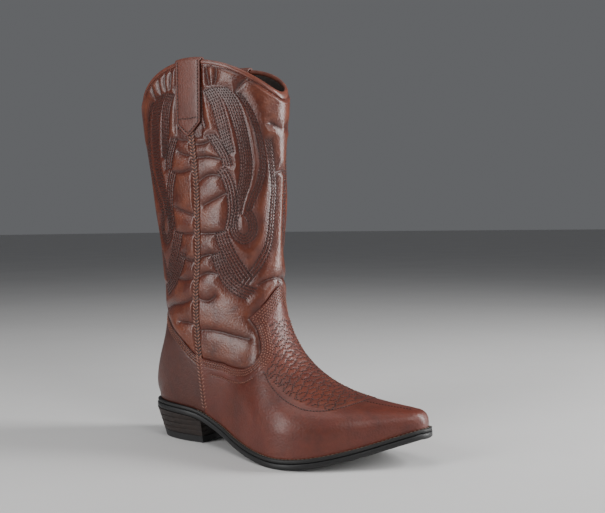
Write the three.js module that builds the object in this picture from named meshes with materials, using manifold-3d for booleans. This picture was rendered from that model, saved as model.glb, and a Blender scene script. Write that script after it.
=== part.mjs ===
// A western boot for the right foot: a leather upper on a welted sole with a stacked heel.
// Millimetres. x runs from heel to toe, y towards the inner side of the leg, z up from the floor.
import * as THREE from 'three';
import Module from 'manifold-3d';

const wasm = await Module();
wasm.setup();

// ---- sizes that can be set by themselves
const footLength = 284;
const ballWidth = 100;
const shaftWidth = 78;
const bootHeight = 362;
const heelRise = 28;
const rimDipFront = 41;
const rimDipBack = 44;
const vampThickness = 2.4;
const shaftThickness = 1.6;
const liningThickness = 0.9;
const stiffenerThickness = 1.5;
const weltThickness = 3;
const outsoleThickness = 5;
const weltMargin = 3.5;
const weltReach = 8;
const insoleThickness = 3;
const insoleSlack = 0.8;
const sockThickness = 1.5;
const heelBreast = 70;
const heelTaper = 0.86;
const heelCapThickness = 6.5;
const heelLiftCount = 3;
const heelLiftThickness = 4.6;
const nailRadius = 1.6;
const nailDepth = 2.2;
const nailSides = 10;
const shankWidth = 12;
const shankThickness = 2;
const bindingDepth = 4;
const seamCordWidth = 6.4;
const seamBraidWidth = 6;
const cordStandsProud = 0.8;
const strapWidth = 30;
const strapThickness = 1.4;
const strapLength = 72;
const strapPoint = 14;
const strapInsideLength = 48;
const toePuffLength = 48;
const stiffenerHeight = 78;
// Front edge of the stiffener, at its top and far below.
const stiffenerSlant = [62, 118];
const shankEnds = [28, 150];
// Each nail: how far behind the heel's front face, and how far across.
const nailPlaces = [[9, -17], [9, 17], [32, -17], [32, 17], [50, 0]];
// Touching pieces keep this much air between them.
const clearance = 0.3;

// ---- what follows from them
const soleStack = outsoleThickness + clearance + weltThickness + clearance;
const shaftFace = vampThickness - shaftThickness;
const liningFace = vampThickness + clearance;
const liningBack = liningFace + liningThickness;
const stiffenerBack = liningFace + stiffenerThickness;
const heelLiningFace = stiffenerBack + clearance;
const heelLiningBack = heelLiningFace + liningThickness;
const bindingBack = liningBack + 0.6;
const strapInsideFace = bindingBack + clearance;
const strapInsideBack = strapInsideFace + strapThickness;
const strapFace = shaftFace - clearance - strapThickness;
const insoleInset = heelLiningBack + insoleSlack;

// ---- the pattern, drawn for one size and graded to the sizes above
const patternLength = 284;
const patternBall = 100;
const patternShaft = 78;
const patternRise = 28;
const patternHeight = 353;
const lengthGrade = footLength / patternLength;
const ballGrade = ballWidth / patternBall;
const shaftGrade = shaftWidth / patternShaft;
const heightGrade = (bootHeight - soleStack) / patternHeight;
const ballPlace = 185;
const heelStation = 14;
const topStation = 23;

// A smooth curve through rows of numbers, the first of each row being the place along it.
function curveThrough(rows) {
  const places = rows.map((row) => row[0]);
  const last = rows.length - 1;
  const slope = (i, k) => (rows[i + 1][k] - rows[i][k]) / (places[i + 1] - places[i]);
  const tangent = (i, k) => {
    if (i === 0) return slope(0, k) + (slope(0, k) - slope(1, k)) * endShare(0, 1);
    if (i === last) return slope(last - 1, k) + (slope(last - 1, k) - slope(last - 2, k)) * endShare(last - 1, last - 2);
    const before = places[i] - places[i - 1];
    const after = places[i + 1] - places[i];
    return (slope(i - 1, k) * after + slope(i, k) * before) / (before + after);
  };
  const endShare = (near, next) => {
    const nearStep = places[near + 1] - places[near];
    const nextStep = places[next + 1] - places[next];
    return nearStep / (nearStep + nextStep);
  };
  const tangents = rows.map((row, i) => row.map((value, k) => (k === 0 ? 1 : tangent(i, k))));
  return (place) => {
    const at = Math.min(Math.max(place, places[0]), places[last]);
    let i = 0;
    while (i < last - 1 && at >= places[i + 1]) i += 1;
    const step = places[i + 1] - places[i];
    const u = (at - places[i]) / step;
    const rise = u * u * (3 - 2 * u);
    const leave = u * (1 - u) * (1 - u) * step;
    const arrive = u * u * (u - 1) * step;
    return rows[i].slice(1).map((start, k) => start * (1 - rise) + rows[i + 1][k + 1] * rise
      + leave * tangents[i][k + 1] + arrive * tangents[i + 1][k + 1]);
  };
}

// The feather line, where the upper meets the sole: place along the foot, height above the ball.
const featherCurve = curveThrough([
  [-5, 28], [30, 27], [62, 24], [92, 15], [122, 6.5], [155, 1.5], [185, 0], [215, 3], [245, 10.5], [268, 18.5], [284, 24],
]);

// The sole's outline: place along the foot, outer half width, inner half width.
const outlineRows = [
  [0, 0, 0], [3, 12, 12], [12, 22, 22], [28, 28.5, 28.5], [50, 30.5, 30], [75, 29.5, 27], [100, 33.5, 26],
  [130, 44.5, 30], [158, 55, 36.5], [182, 59.5, 40.5], [205, 57, 40.5], [230, 46, 35.5], [252, 30, 27],
  [268, 18.5, 18.5], [279, 10.5, 10.5], [284, 0, 0],
];
const roundEnds = (place) => Math.acos(1 - 2 * place / patternLength);
const outlineCurve = curveThrough(outlineRows.map(([place, outer, inner]) => [roundEnds(place), outer, inner]));

// The foot's centre line swings inwards towards the toe.
const centreCurve = curveThrough([[0, 0], [90, 0], [150, -1.5], [190, -1], [240, 8], [284, 17]]);

// The ridge over toe, instep and shin: station, place, height above the ball.
const ridgeCurve = curveThrough([
  [0, 284, 24], [1, 282.3, 33.5], [2, 277, 37.5], [3, 266.5, 38.8], [4, 250, 40.5], [5, 230, 43.5], [6, 209, 49],
  [7, 189, 58.5], [8, 171, 72], [9, 157, 88.5], [10, 148, 107], [11, 144, 127.5], [12, 143, 147], [13, 142.7, 164],
  [14, 142.7, 177.5], [15, 143.1, 189.5], [16, 143.9, 202], [17, 145, 217], [18, 146, 234.5], [19, 147, 255.5],
  [20, 148.2, 280], [21, 150.2, 310], [22, 153.4, 346], [23, 157.5, 386],
]);

// The line opposite the ridge: along the feather line to the heel, then up the back of the leg.
const footingCurve = curveThrough([
  [0, 284, 24], [1, 282.3, 24], [2, 277, 22], [3, 266.5, 18], [4, 250, 12], [5, 230, 6.5], [6, 209, 2], [7, 188, 0],
  [8, 168, 0.5], [9, 149, 2], [10, 126, 6], [11, 97, 14], [12, 64, 24], [13, 30, 27], [14, -4.5, 28], [15, -4.5, 53],
  [16, 5, 81], [17, 9, 111], [18, 6, 146], [19, -1, 186], [20, -9.5, 231], [21, -18, 281], [22, -26, 336], [23, -32, 386],
]);

// Half widths and fullness of each section: station, outer, inner, widest place, roundness above and below.
const sectionCurve = curveThrough([
  [0, 0, 0, 0.4, 2.6, 2.2], [1, 6, 6, 0.4, 2.6, 2.2], [2, 12, 12, 0.4, 2.6, 2.2], [3, 19, 19, 0.4, 2.6, 2.2],
  [4, 29, 27.5, 0.4, 2.5, 2.2], [5, 42, 37, 0.4, 2.4, 2.2], [6, 51.5, 43.5, 0.38, 2.2, 2.2],
  [7, 54.5, 45.5, 0.35, 2, 2.2], [8, 51, 43.5, 0.32, 1.85, 2.2], [9, 44.5, 39.5, 0.31, 1.8, 2.2],
  [10, 37.5, 35, 0.33, 1.8, 2.2], [11, 33.5, 32.5, 0.37, 1.85, 2.2], [12, 34, 33.5, 0.42, 1.9, 2.2],
  [13, 36.5, 36.5, 0.46, 1.95, 2.2], [14, 38, 38, 0.5, 2, 2], [15, 38.4, 38.4, 0.5, 2, 2], [16, 38.6, 38.6, 0.5, 2, 2],
  [17, 38.8, 38.8, 0.5, 2, 2], [18, 39, 39, 0.5, 2, 2], [19, 39.2, 39.2, 0.5, 2, 2], [20, 39.4, 39.4, 0.5, 2, 2],
  [21, 39.4, 39.4, 0.5, 2, 2], [22, 39.2, 39.2, 0.5, 2, 2], [23, 39, 39, 0.5, 2, 2],
]);

const centreLine = (x) => centreCurve(x / lengthGrade)[0] * ballGrade;

// The height of the feather line over the floor at x.
function featherHeight(x) {
  const place = x / lengthGrade;
  const grade = place < ballPlace ? heelRise / patternRise : heightGrade;
  return soleStack + featherCurve(place)[0] * grade;
}

// The outline's half width on one side (-1 outer, 1 inner), with the outline grown by margin all round.
function halfWidth(x, side, margin = 0) {
  const place = ((x + margin) / (footLength + 2 * margin)) * patternLength;
  if (place <= 0 || place >= patternLength) return 0;
  const widths = outlineCurve(roundEnds(place));
  const toTip = Math.min(place, patternLength - place) / 8;
  const ramp = toTip < 1 ? Math.sqrt(1 - (1 - toTip) ** 2) : 1;
  return Math.max(widths[side < 0 ? 0 : 1] * ballGrade + margin * ramp, 0);
}

// A point of one of the two profile lines, moved inwards by inset.
function profilePoint(curve, station, inset, inwards) {
  const step = 0.02;
  const at = (s) => {
    const [place, height] = curve(s);
    return [place * lengthGrade, soleStack + height * heightGrade];
  };
  const [x, z] = at(station);
  const [x0, z0] = at(Math.max(station - step, 0));
  const [x1, z1] = at(Math.min(station + step, topStation));
  const run = Math.hypot(x1 - x0, z1 - z0);
  return [x - inwards * inset * (z1 - z0) / run, z + inwards * inset * (x1 - x0) / run];
}

// The far end of a section from its ridge.
function footingPoint(station, inset) {
  if (station >= heelStation + 0.25) return profilePoint(footingCurve, station, inset, -1);
  const x = inset + footingCurve(station)[0] * lengthGrade * (footLength - 2 * inset) / footLength;
  return [x, featherHeight(x)];
}

// A point of the upper's surface: station, share of the way round from footing to ridge, side, inset.
function upperPoint(station, share, side, inset) {
  const [topX, topZ] = profilePoint(ridgeCurve, station, inset, 1);
  const [lowX, lowZ] = footingPoint(station, inset);
  const [outer, inner, widest, above, below] = sectionCurve(station);
  const shaftShare = Math.min(Math.max((station - 10) / 4, 0), 1);
  const grade = ballGrade + (shaftGrade - ballGrade) * shaftShare;
  const foot = station <= heelStation ? halfWidth(lowX, side, -inset) : 0;
  const wide = Math.max((side < 0 ? outer : inner) * grade - inset, foot, 0);
  const length = Math.hypot(topX - lowX, topZ - lowZ) + 1e-9;
  const lower = widest * length;
  const upper = length - lower;
  const lowArc = Math.hypot(lower, wide - foot);
  const split = lowArc / (lowArc + Math.hypot(upper, wide) + 1e-9);
  let along;
  let across;
  if (share < split) {
    const turn = (share / split) * Math.PI / 2;
    along = lower * (1 - Math.cos(turn) ** (2 / below));
    across = foot + (wide - foot) * Math.sin(turn) ** (2 / below);
  } else {
    const turn = ((share - split) / (1 - split)) * Math.PI / 2;
    along = lower + upper * Math.sin(turn) ** (2 / above);
    across = wide * Math.max(Math.cos(turn), 0) ** (2 / above);
  }
  const x = lowX + (topX - lowX) * along / length;
  const z = lowZ + (topZ - lowZ) * along / length;
  return [x, side * across + centreLine(x), z];
}

// ---- meshes and solids

// A closed solid from points and triangles, with points that meet joined.
function solidFrom(points, triangles) {
  const places = new Map();
  const merged = [];
  const index = points.map((point) => {
    const key = point.map((value) => Math.round(value * 1e4)).join(' ');
    if (!places.has(key)) {
      places.set(key, merged.length / 3);
      merged.push(...point);
    }
    return places.get(key);
  });
  const kept = triangles
    .map((corners) => corners.map((corner) => index[corner]))
    .filter(([a, b, c]) => a !== b && b !== c && c !== a);
  return new wasm.Manifold(new wasm.Mesh({
    numProp: 3, vertProperties: new Float32Array(merged), triVerts: new Uint32Array(kept.flat()),
  }));
}

// A closed skin over rings of points, each ring with as many points, and flat caps at both ends.
function skinOver(rings) {
  const size = rings[0].length;
  const triangles = [];
  for (let row = 0; row + 1 < rings.length; row += 1) {
    for (let i = 0; i < size; i += 1) {
      const next = (i + 1) % size;
      const a = row * size + i;
      const b = row * size + next;
      triangles.push([a, b + size, b], [a, a + size, b + size]);
    }
  }
  const lastRow = (rings.length - 1) * size;
  for (let i = 1; i + 1 < size; i += 1) {
    triangles.push([0, i, i + 1], [lastRow, lastRow + i + 1, lastRow + i]);
  }
  return solidFrom(rings.flat(), triangles);
}

const toeStations = [0, 0.2, 0.5, 1, 1.5, 2, 2.5];
const footStep = 0.7;
const footStations = Array.from({ length: 14 }, (_, i) => 3 + i * footStep);
const heelStations = [13, 13.25, 13.5, 13.75, 14, 14.5];
const shaftStations = Array.from({ length: 9 }, (_, i) => 15 + i);
const stations = [...toeStations, ...footStations, ...heelStations, ...shaftStations];
const sharesUp = Array.from({ length: 10 }, (_, i) => i / 9);

// The whole upper as one filled solid, its surface moved inwards by inset and its underside lowered by sink.
const formCache = new Map();
function upperForm(inset, sink) {
  const key = `${inset} ${sink}`;
  if (!formCache.has(key)) {
    const rings = stations.map((station) => {
      const low = (side) => {
        const [x, y, z] = upperPoint(station, 0, side, inset);
        return [x, y, station < heelStation ? z - sink : z];
      };
      return [
        low(1),
        ...sharesUp.map((share) => upperPoint(station, share, 1, inset)),
        ...sharesUp.slice(0, -1).reverse().map((share) => upperPoint(station, share, -1, inset)),
        low(-1),
      ];
    });
    formCache.set(key, skinOver(rings));
  }
  return formCache.get(key);
}

// A shell of the upper between two insets, open underneath.
const upperShell = (face, back) => upperForm(face, 0).subtract(upperForm(back, soleStack));

const wideAcross = 400;
// Facets that turn by less than this, in millimetres off the surface, are joined.
const flatness = 0.1;

// What lies behind an outline drawn in the side view, right across the boot.
function sideCut(outline, grow = -clearance / 2) {
  const flat = new wasm.CrossSection([outline], 'NonZero').offset(grow, 'Miter', 4);
  return flat.extrude(wideAcross, 0, 0, [1, 1], true).rotate([90, 0, 0]);
}

// ---- lines drawn in the side view, as [x, z] of the pattern, graded to size
const graded = ([x, z]) => [x * lengthGrade, soleStack + z * heightGrade];

// Points of a smooth line through a few drawn ones.
function smoothLine(drawn, count) {
  const line = new THREE.CatmullRomCurve3(drawn.map(([x, z]) => new THREE.Vector3(...graded([x, z]), 0)), false, 'centripetal');
  return line.getPoints(count).map((point) => [point.x, point.y]);
}

const seamLine = smoothLine([
  [76.5, -9], [76.5, 21], [74, 71], [72.8, 91], [72.8, 141], [75.5, 166], [75.8, 191], [75, 241], [70.5, 282], [67, 320],
  [67, 360],
], 22);
const seamCurve = curveThrough(seamLine.map(([x, z]) => [z, x]));
const seamPlace = (z) => seamCurve(z)[0];
const vampMeetsSeam = 74;
const sweep = [[74, vampMeetsSeam], [94, 70.5], [116, 68], [132, 69], [141.5, 74], [145, 82], [143, 91], [136, 101], [128, 112]];
const vampSweep = smoothLine(sweep, 16);
const tongueEdge = smoothLine([[128, 112], [135.5, 122], [140.5, 131], [143, 139], [150, 141]], 8);
const counterSweep = smoothLine([[74, vampMeetsSeam], [65, 79.5], [53, 89.5], [26, 108], [5, 118], [-30, 124]], 12);

const rimMiddle = 64 * lengthGrade;
const rimReach = 88 * lengthGrade;
const rimSteps = 28;

// The rim's height over the floor: high at the sides, dipping to a point in front and behind.
function rimHeight(x) {
  const away = (x - rimMiddle) / rimReach;
  const dip = away > 0 ? rimDipFront : rimDipBack;
  return bootHeight - dip + dip * Math.max(1 - away * away, 0) ** 0.7;
}

function rimLine(lift, from = rimMiddle - rimReach - 30, to = rimMiddle + rimReach + 30) {
  return Array.from({ length: rimSteps + 1 }, (_, i) => {
    const x = from + (to - from) * i / rimSteps;
    return [x, rimHeight(x) + lift];
  });
}

const farBack = -80;
const farFront = footLength + 60;
const farBelow = -30;
const farAbove = bootHeight * 2;

// Outlines run anticlockwise with x to the right and z up.
const along = (line) => [...line];
const against = (line) => [...line].reverse();
const seamFrom = (lowest, highest, shift) => {
  const count = 8;
  return Array.from({ length: count + 1 }, (_, i) => {
    const z = lowest + (highest - lowest) * i / count;
    return [seamPlace(z) + shift, z];
  });
};

const seamTop = graded([0, vampMeetsSeam])[1];
const belowRim = () => sideCut([...against(rimLine(-bindingDepth)), [farBack, farBelow], [farFront, farBelow]]);
const bindingBand = () => sideCut([...against(rimLine(clearance / 2)), ...along(rimLine(-bindingDepth))]);
const aboveFeather = () => {
  const floorLine = Array.from({ length: 60 }, (_, i) => {
    const x = -40 + (footLength + 60) * i / 59;
    return [x, featherHeight(x)];
  });
  return sideCut([...floorLine, [farFront, farAbove], [farBack, farAbove]], 0);
};
const stand = aboveFeather();

const vampOutline = [
  ...seamFrom(farBelow, seamTop, seamBraidWidth / 2).reverse().slice(0, -1),
  [seamPlace(0), farBelow], [farFront, farBelow], [farFront, graded([0, 141])[1]],
  ...against(tongueEdge), ...against(vampSweep).slice(1, -1),
];
const counterOutline = [
  ...seamFrom(farBelow, seamTop, -seamBraidWidth / 2), ...along(counterSweep).slice(1), [farBack, farBelow],
];
const frontOutline = [
  ...against(seamFrom(seamTop, farAbove, seamCordWidth / 2)), ...along(vampSweep).slice(1),
  ...along(tongueEdge).slice(1), [farFront, graded([0, 141])[1]], [farFront, farAbove],
];
const backOutline = [
  ...seamFrom(seamTop, farAbove, -seamCordWidth / 2), [farBack, farAbove],
  ...against(counterSweep).slice(0, -1),
];
const cordOutline = [
  ...seamFrom(seamTop, farAbove, seamCordWidth / 2), ...against(seamFrom(seamTop, farAbove, -seamCordWidth / 2)),
];
const braidOutline = [
  ...seamFrom(farBelow, seamTop, seamBraidWidth / 2), ...against(seamFrom(farBelow, seamTop, -seamBraidWidth / 2)),
];

const strapOutline = (length) => {
  const point = bootHeight - length;
  const shoulder = point + strapPoint;
  const half = strapWidth / 2;
  const top = seamPlace(bootHeight);
  return [
    [seamPlace(point), point], [seamPlace(shoulder) + half, shoulder], [top + half, farAbove],
    [top - half, farAbove], [seamPlace(shoulder) - half, shoulder],
  ];
};

// ---- colours, one material for each kind of stuff
const finish = (color, roughness, metalness = 0) => new THREE.MeshStandardMaterial({ color, roughness, metalness });
const vampLeather = finish(0x6b3f36, 0.42);
const shaftLeather = finish(0x77483d, 0.45);
const edgeLeather = finish(0x7c5148, 0.5);
const liningLeather = finish(0x6a5444, 0.8);
const boardStuff = finish(0x9a8160, 0.9);
const corkStuff = finish(0x8a6a48, 0.95);
const springSteel = finish(0x8d9094, 0.35, 1);
const soleLeather = finish(0x1d1b1a, 0.55);
const stackedLeather = finish(0x2a2020, 0.6);
const capRubber = finish(0x151515, 0.8);
const nailBrass = finish(0xb08d4c, 0.4, 1);

const boot = new THREE.Group();

// Adds one named piece to the boot.
function addPiece(name, solid, material) {
  const mesh = solid.simplify(flatness).getMesh();
  const corners = new Float32Array(mesh.numVert * 3);
  for (let i = 0; i < mesh.numVert; i += 1) {
    corners.set(mesh.vertProperties.subarray(i * mesh.numProp, i * mesh.numProp + 3), i * 3);
  }
  const geometry = new THREE.BufferGeometry();
  geometry.setAttribute('position', new THREE.BufferAttribute(corners, 3));
  geometry.setIndex(Array.from(mesh.triVerts));
  geometry.computeVertexNormals();
  const piece = new THREE.Mesh(geometry, material);
  piece.name = name;
  boot.add(piece);
}

const cut = (solid, ...cutters) => cutters.reduce((left, cutter) => left.intersect(cutter), solid);

// Everything on one side of the boot's middle: -1 outer, 1 inner.
function sideHalf(side) {
  const size = [wideAcross * 2, wideAcross, wideAcross * 4];
  return wasm.Manifold.cube(size, true).translate([0, side * wideAcross / 2, 0]);
}

function betweenHeights(low, high) {
  return wasm.Manifold.cube([wideAcross * 4, wideAcross, high - low], true).translate([0, 0, (low + high) / 2]);
}

const sides = [['outer', -1], ['inner', 1]];

// The four leather panels of the upper.
function addPanels() {
  addPiece('vamp', cut(upperShell(0, vampThickness), stand, sideCut(vampOutline)), vampLeather);
  addPiece('heel_counter', cut(upperShell(0, vampThickness), stand, sideCut(counterOutline)), vampLeather);
  const shaft = cut(upperShell(shaftFace, vampThickness), belowRim());
  addPiece('shaft_front_panel', cut(shaft, sideCut(frontOutline)), shaftLeather);
  addPiece('shaft_back_panel', cut(shaft, sideCut(backOutline)), shaftLeather);
}

// The cords in the shaft's side seams, flattened where the pull straps lie over them.
function addSeamCords() {
  const band = cut(sideCut(cordOutline), belowRim());
  const free = cut(upperShell(-cordStandsProud, vampThickness), band)
    .subtract(sideCut(strapOutline(strapLength), clearance));
  const pressed = cut(upperShell(shaftFace, vampThickness), band);
  const cord = free.add(pressed);
  sides.forEach(([name, side]) => addPiece(`side_seam_cord_${name}`, cut(cord, sideHalf(side)), edgeLeather));
}

// The plaited seams between vamp and counter.
function addSeamBraids() {
  const braid = cut(upperShell(-cordStandsProud, vampThickness), stand, sideCut(braidOutline));
  sides.forEach(([name, side]) => addPiece(`lower_seam_braid_${name}`, cut(braid, sideHalf(side)), edgeLeather));
}

function addBinding() {
  addPiece('top_binding', cut(upperShell(shaftFace, bindingBack), bindingBand()), edgeLeather);
}

// The pull straps, sewn down outside, folded over the rim and sewn down inside.
function addPullStraps() {
  const top = clearance + strapThickness;
  const underTop = sideCut([...against(rimLine(top)), [farBack, farBelow], [farFront, farBelow]], 0);
  const overRim = sideCut([...against(rimLine(top)), ...along(rimLine(clearance))], 0);
  const outside = cut(upperShell(strapFace, strapFace + strapThickness), sideCut(strapOutline(strapLength), 0), underTop);
  const inside = cut(upperShell(strapInsideFace, strapInsideBack), sideCut(strapOutline(strapInsideLength), 0), underTop);
  const fold = cut(upperShell(strapFace, strapInsideBack), sideCut(strapOutline(strapInsideLength), 0), overRim);
  const strap = outside.add(inside).add(fold);
  sides.forEach(([name, side]) => addPiece(`pull_strap_${name}`, cut(strap, sideHalf(side)), edgeLeather));
}

// The layers inside the upper, front to back and top to bottom.
function addLinings() {
  const split = soleStack + stiffenerHeight;
  const heelFront = [[stiffenerSlant[0], split], [stiffenerSlant[1], farBelow]];
  const heelPart = sideCut([[farBack, farBelow], heelFront[1], heelFront[0], [farBack, split]]);
  const toeBack = footLength - toePuffLength;
  const toePart = sideCut([[toeBack, farBelow], [farFront, farBelow], [farFront, farAbove / 2], [toeBack, farAbove / 2]]);
  const vampPart = sideCut([heelFront[1], [toeBack, farBelow], [toeBack, split], heelFront[0]]);
  const above = (direction) => sideCut([
    ...seamFrom(split, farAbove, 0), [direction > 0 ? farFront : farBack, farAbove],
    [direction > 0 ? farFront : farBack, split],
  ]);
  const lining = cut(upperShell(liningFace, liningBack), stand, belowRim());
  addPiece('toe_puff', cut(upperShell(liningFace, stiffenerBack), stand, toePart), boardStuff);
  addPiece('counter_stiffener', cut(upperShell(liningFace, stiffenerBack), stand, heelPart), boardStuff);
  addPiece('heel_lining', cut(upperShell(heelLiningFace, heelLiningBack), stand, heelPart), liningLeather);
  addPiece('vamp_lining', cut(lining, vampPart), liningLeather);
  addPiece('shaft_lining_front', cut(lining, above(1)), liningLeather);
  addPiece('shaft_lining_back', cut(lining, above(-1)), liningLeather);
}

const soleSteps = 34;

// A layer that follows the foot's bottom: its top and underside over the feather line, its outline's margin.
function soleLayer(top, underside, margin) {
  const rings = Array.from({ length: soleSteps + 1 }, (_, i) => {
    const x = -margin + (footLength + 2 * margin) * (1 - Math.cos(Math.PI * i / soleSteps)) / 2;
    const floor = featherHeight(x);
    const outerY = centreLine(x) - halfWidth(x, -1, margin);
    const innerY = centreLine(x) + halfWidth(x, 1, margin);
    const high = Math.max(floor + top, 0);
    const low = Math.max(floor + underside, 0);
    return [[x, innerY, low], [x, outerY, low], [x, outerY, high], [x, innerY, high]];
  });
  return skinOver(rings);
}

// Outsole, welt and heel rand, filler and shank.
function addSole() {
  const weltTop = -clearance;
  const weltUnder = weltTop - weltThickness;
  const outsoleTop = weltUnder - clearance;
  addPiece('outsole', soleLayer(outsoleTop, outsoleTop - outsoleThickness, weltMargin), soleLeather);
  const frame = soleLayer(weltTop, weltUnder, weltMargin)
    .subtract(soleLayer(weltTop + outsoleThickness, weltUnder - outsoleThickness, -weltReach));
  const middle = clearance / 2;
  addPiece('welt', cut(frame, sideCut([
    [heelBreast, farBelow], [farFront, farBelow], [farFront, farAbove], [heelBreast, farAbove]], -middle)), soleLeather);
  addPiece('heel_rand', cut(frame, sideCut([
    [farBack, farBelow], [heelBreast, farBelow], [heelBreast, farAbove], [farBack, farAbove]], -middle)), soleLeather);
  const shankHole = shankSolid(clearance, weltThickness);
  addPiece('filler', soleLayer(weltTop, weltUnder, -weltReach - clearance).subtract(shankHole), corkStuff);
  addPiece('shank', shankSolid(0, 0), springSteel);
}

// The steel spring under the waist, bent to the sole; slack widens it into the slot that takes it.
function shankSolid(slack, depth) {
  const count = 12;
  const from = shankEnds[0] - slack;
  const to = shankEnds[1] + slack;
  const half = shankWidth / 2 + slack;
  const top = -clearance - (weltThickness - shankThickness) / 2;
  const rings = Array.from({ length: count + 1 }, (_, i) => {
    const x = from + (to - from) * i / count;
    const high = featherHeight(x) + top + depth;
    const low = featherHeight(x) + top - shankThickness - depth;
    return [[x, half, low], [x, -half, low], [x, -half, high], [x, half, high]];
  });
  return skinOver(rings);
}

function addFootbed() {
  addPiece('insole_board', soleLayer(insoleThickness, 0, -insoleInset), boardStuff);
  const sockFloor = insoleThickness + clearance;
  addPiece('sock_liner', soleLayer(sockFloor + sockThickness, sockFloor, -insoleInset), liningLeather);
}

// Everything under the outsole.
function underSole() {
  const count = 24;
  const edge = Array.from({ length: count + 1 }, (_, i) => {
    const x = farBack / 2 + (heelBreast - farBack) * i / count;
    return [x, featherHeight(x) - soleStack - clearance];
  });
  return sideCut([...against(edge), [farBack / 2, farBelow], [heelBreast - farBack / 2, farBelow]], 0);
}

// The heel: a block tapering down from the sole's outline, cut into a rubber cap, lifts and a wedge.
function addHeel() {
  const tall = heelRise + 8;
  const steps = 20;
  const reach = heelBreast + weltMargin;
  const places = Array.from({ length: steps + 1 }, (_, i) => heelBreast - reach * Math.sin(Math.PI / 2 * i / steps));
  const outerEdge = places.map((x) => [x - heelBreast, centreLine(x) - halfWidth(x, -1, weltMargin)]);
  const innerEdge = places.map((x) => [x - heelBreast, centreLine(x) + halfWidth(x, 1, weltMargin)]);
  const taperAt = (z) => heelTaper + (1 - heelTaper) * z / heelRise;
  const grow = taperAt(tall) / heelTaper;
  const block = new wasm.CrossSection([[...innerEdge, ...against(outerEdge)]], 'NonZero')
    .scale([heelTaper, heelTaper])
    .extrude(tall, 0, 0, [grow, grow])
    .translate([heelBreast, 0, 0])
    .intersect(underSole());
  const nails = nailPlaces.map(([x, y]) => [heelBreast - x, y]);
  const holes = nails.map(([x, y]) => nailSolid(x, y, clearance, 0));
  const cap = holes.reduce((left, hole) => left.subtract(hole), cut(block, betweenHeights(0, heelCapThickness)));
  addPiece('heel_cap', cap, capRubber);
  nails.forEach(([x, y], i) => addPiece(`heel_nail_${i + 1}`, nailSolid(x, y, 0, clearance), nailBrass));
  let low = heelCapThickness + clearance;
  for (let i = 1; i <= heelLiftCount; i += 1) {
    addPiece(`heel_lift_${i}`, cut(block, betweenHeights(low, low + heelLiftThickness)), stackedLeather);
    low += heelLiftThickness + clearance;
  }
  addPiece('heel_wedge', cut(block, betweenHeights(low, tall)), stackedLeather);
}

// A nail's head in the cap, or with slack the hole for it.
function nailSolid(x, y, slack, recess) {
  const depth = nailDepth + slack + clearance - recess;
  return wasm.Manifold.cylinder(depth, nailRadius + slack, nailRadius + slack, nailSides)
    .translate([x, y, recess]);
}

addPanels();
addSeamCords();
addSeamBraids();
addBinding();
addPullStraps();
addLinings();
addFootbed();
addSole();
addHeel();

// The boot stands with the middle of its box over the origin.
const box = new THREE.Box3().setFromObject(boot);
boot.position.set(-(box.min.x + box.max.x) / 2, -(box.min.y + box.max.y) / 2, 0);
const assembly = new THREE.Group();
assembly.add(boot);
export default assembly;
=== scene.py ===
import math

import bmesh
import bpy
import numpy as np
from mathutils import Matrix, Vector, kdtree


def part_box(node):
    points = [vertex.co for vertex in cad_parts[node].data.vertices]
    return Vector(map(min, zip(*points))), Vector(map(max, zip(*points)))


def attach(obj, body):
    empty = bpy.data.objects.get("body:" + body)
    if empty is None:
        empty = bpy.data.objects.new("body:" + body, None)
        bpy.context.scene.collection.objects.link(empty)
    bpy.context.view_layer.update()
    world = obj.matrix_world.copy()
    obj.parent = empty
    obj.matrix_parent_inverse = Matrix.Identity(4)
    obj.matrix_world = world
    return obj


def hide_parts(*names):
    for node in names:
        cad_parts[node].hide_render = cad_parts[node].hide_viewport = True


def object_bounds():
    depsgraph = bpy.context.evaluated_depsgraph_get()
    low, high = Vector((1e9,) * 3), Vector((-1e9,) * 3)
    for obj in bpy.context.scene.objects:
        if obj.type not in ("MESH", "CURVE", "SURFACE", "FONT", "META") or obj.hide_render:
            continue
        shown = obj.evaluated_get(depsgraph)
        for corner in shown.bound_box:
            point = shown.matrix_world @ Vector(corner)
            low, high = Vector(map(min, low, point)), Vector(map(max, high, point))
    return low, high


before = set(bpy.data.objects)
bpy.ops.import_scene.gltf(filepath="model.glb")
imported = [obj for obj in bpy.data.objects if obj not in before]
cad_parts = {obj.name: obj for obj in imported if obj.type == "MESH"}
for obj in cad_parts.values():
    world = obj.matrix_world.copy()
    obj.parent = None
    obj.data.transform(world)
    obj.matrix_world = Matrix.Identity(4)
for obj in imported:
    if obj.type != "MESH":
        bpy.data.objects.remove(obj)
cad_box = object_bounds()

# A tall western boot for the right foot. The shapes are worked out in millimetres in the last maker's
# own frame: x from heel to toe, y to the inner side of the leg, z up from the floor. to_frame() turns
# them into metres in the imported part's frame.

OUTER = -1
INNER = 1

# ---- sizes taken from the frame
def box_mm(node):
    """The lowest and highest corner of a CAD node's box in millimetres."""
    low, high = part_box(node)
    return np.array(low) * 1000, np.array(high) * 1000


WELT_MARGIN = 3.5
sole_low, sole_high = box_mm("outsole")
shank_low, shank_high = box_mm("shank")
_, cap_high = box_mm("heel_cap")
_, rim_high = box_mm("top_binding")
strap_low, strap_high = box_mm("pull_strap_outer")

FRAME_SHIFT = np.array([sole_low[0] + WELT_MARGIN, (shank_low[1] + shank_high[1]) / 2, 0.0])
FOOT_LENGTH = sole_high[0] - sole_low[0] - 2 * WELT_MARGIN
BOOT_HEIGHT = rim_high[2]
STRAP_TOP = strap_high[2]
STRAP_POINT = strap_low[2]
HEEL_BREAST = cap_high[0] - FRAME_SHIFT[0]

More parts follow.
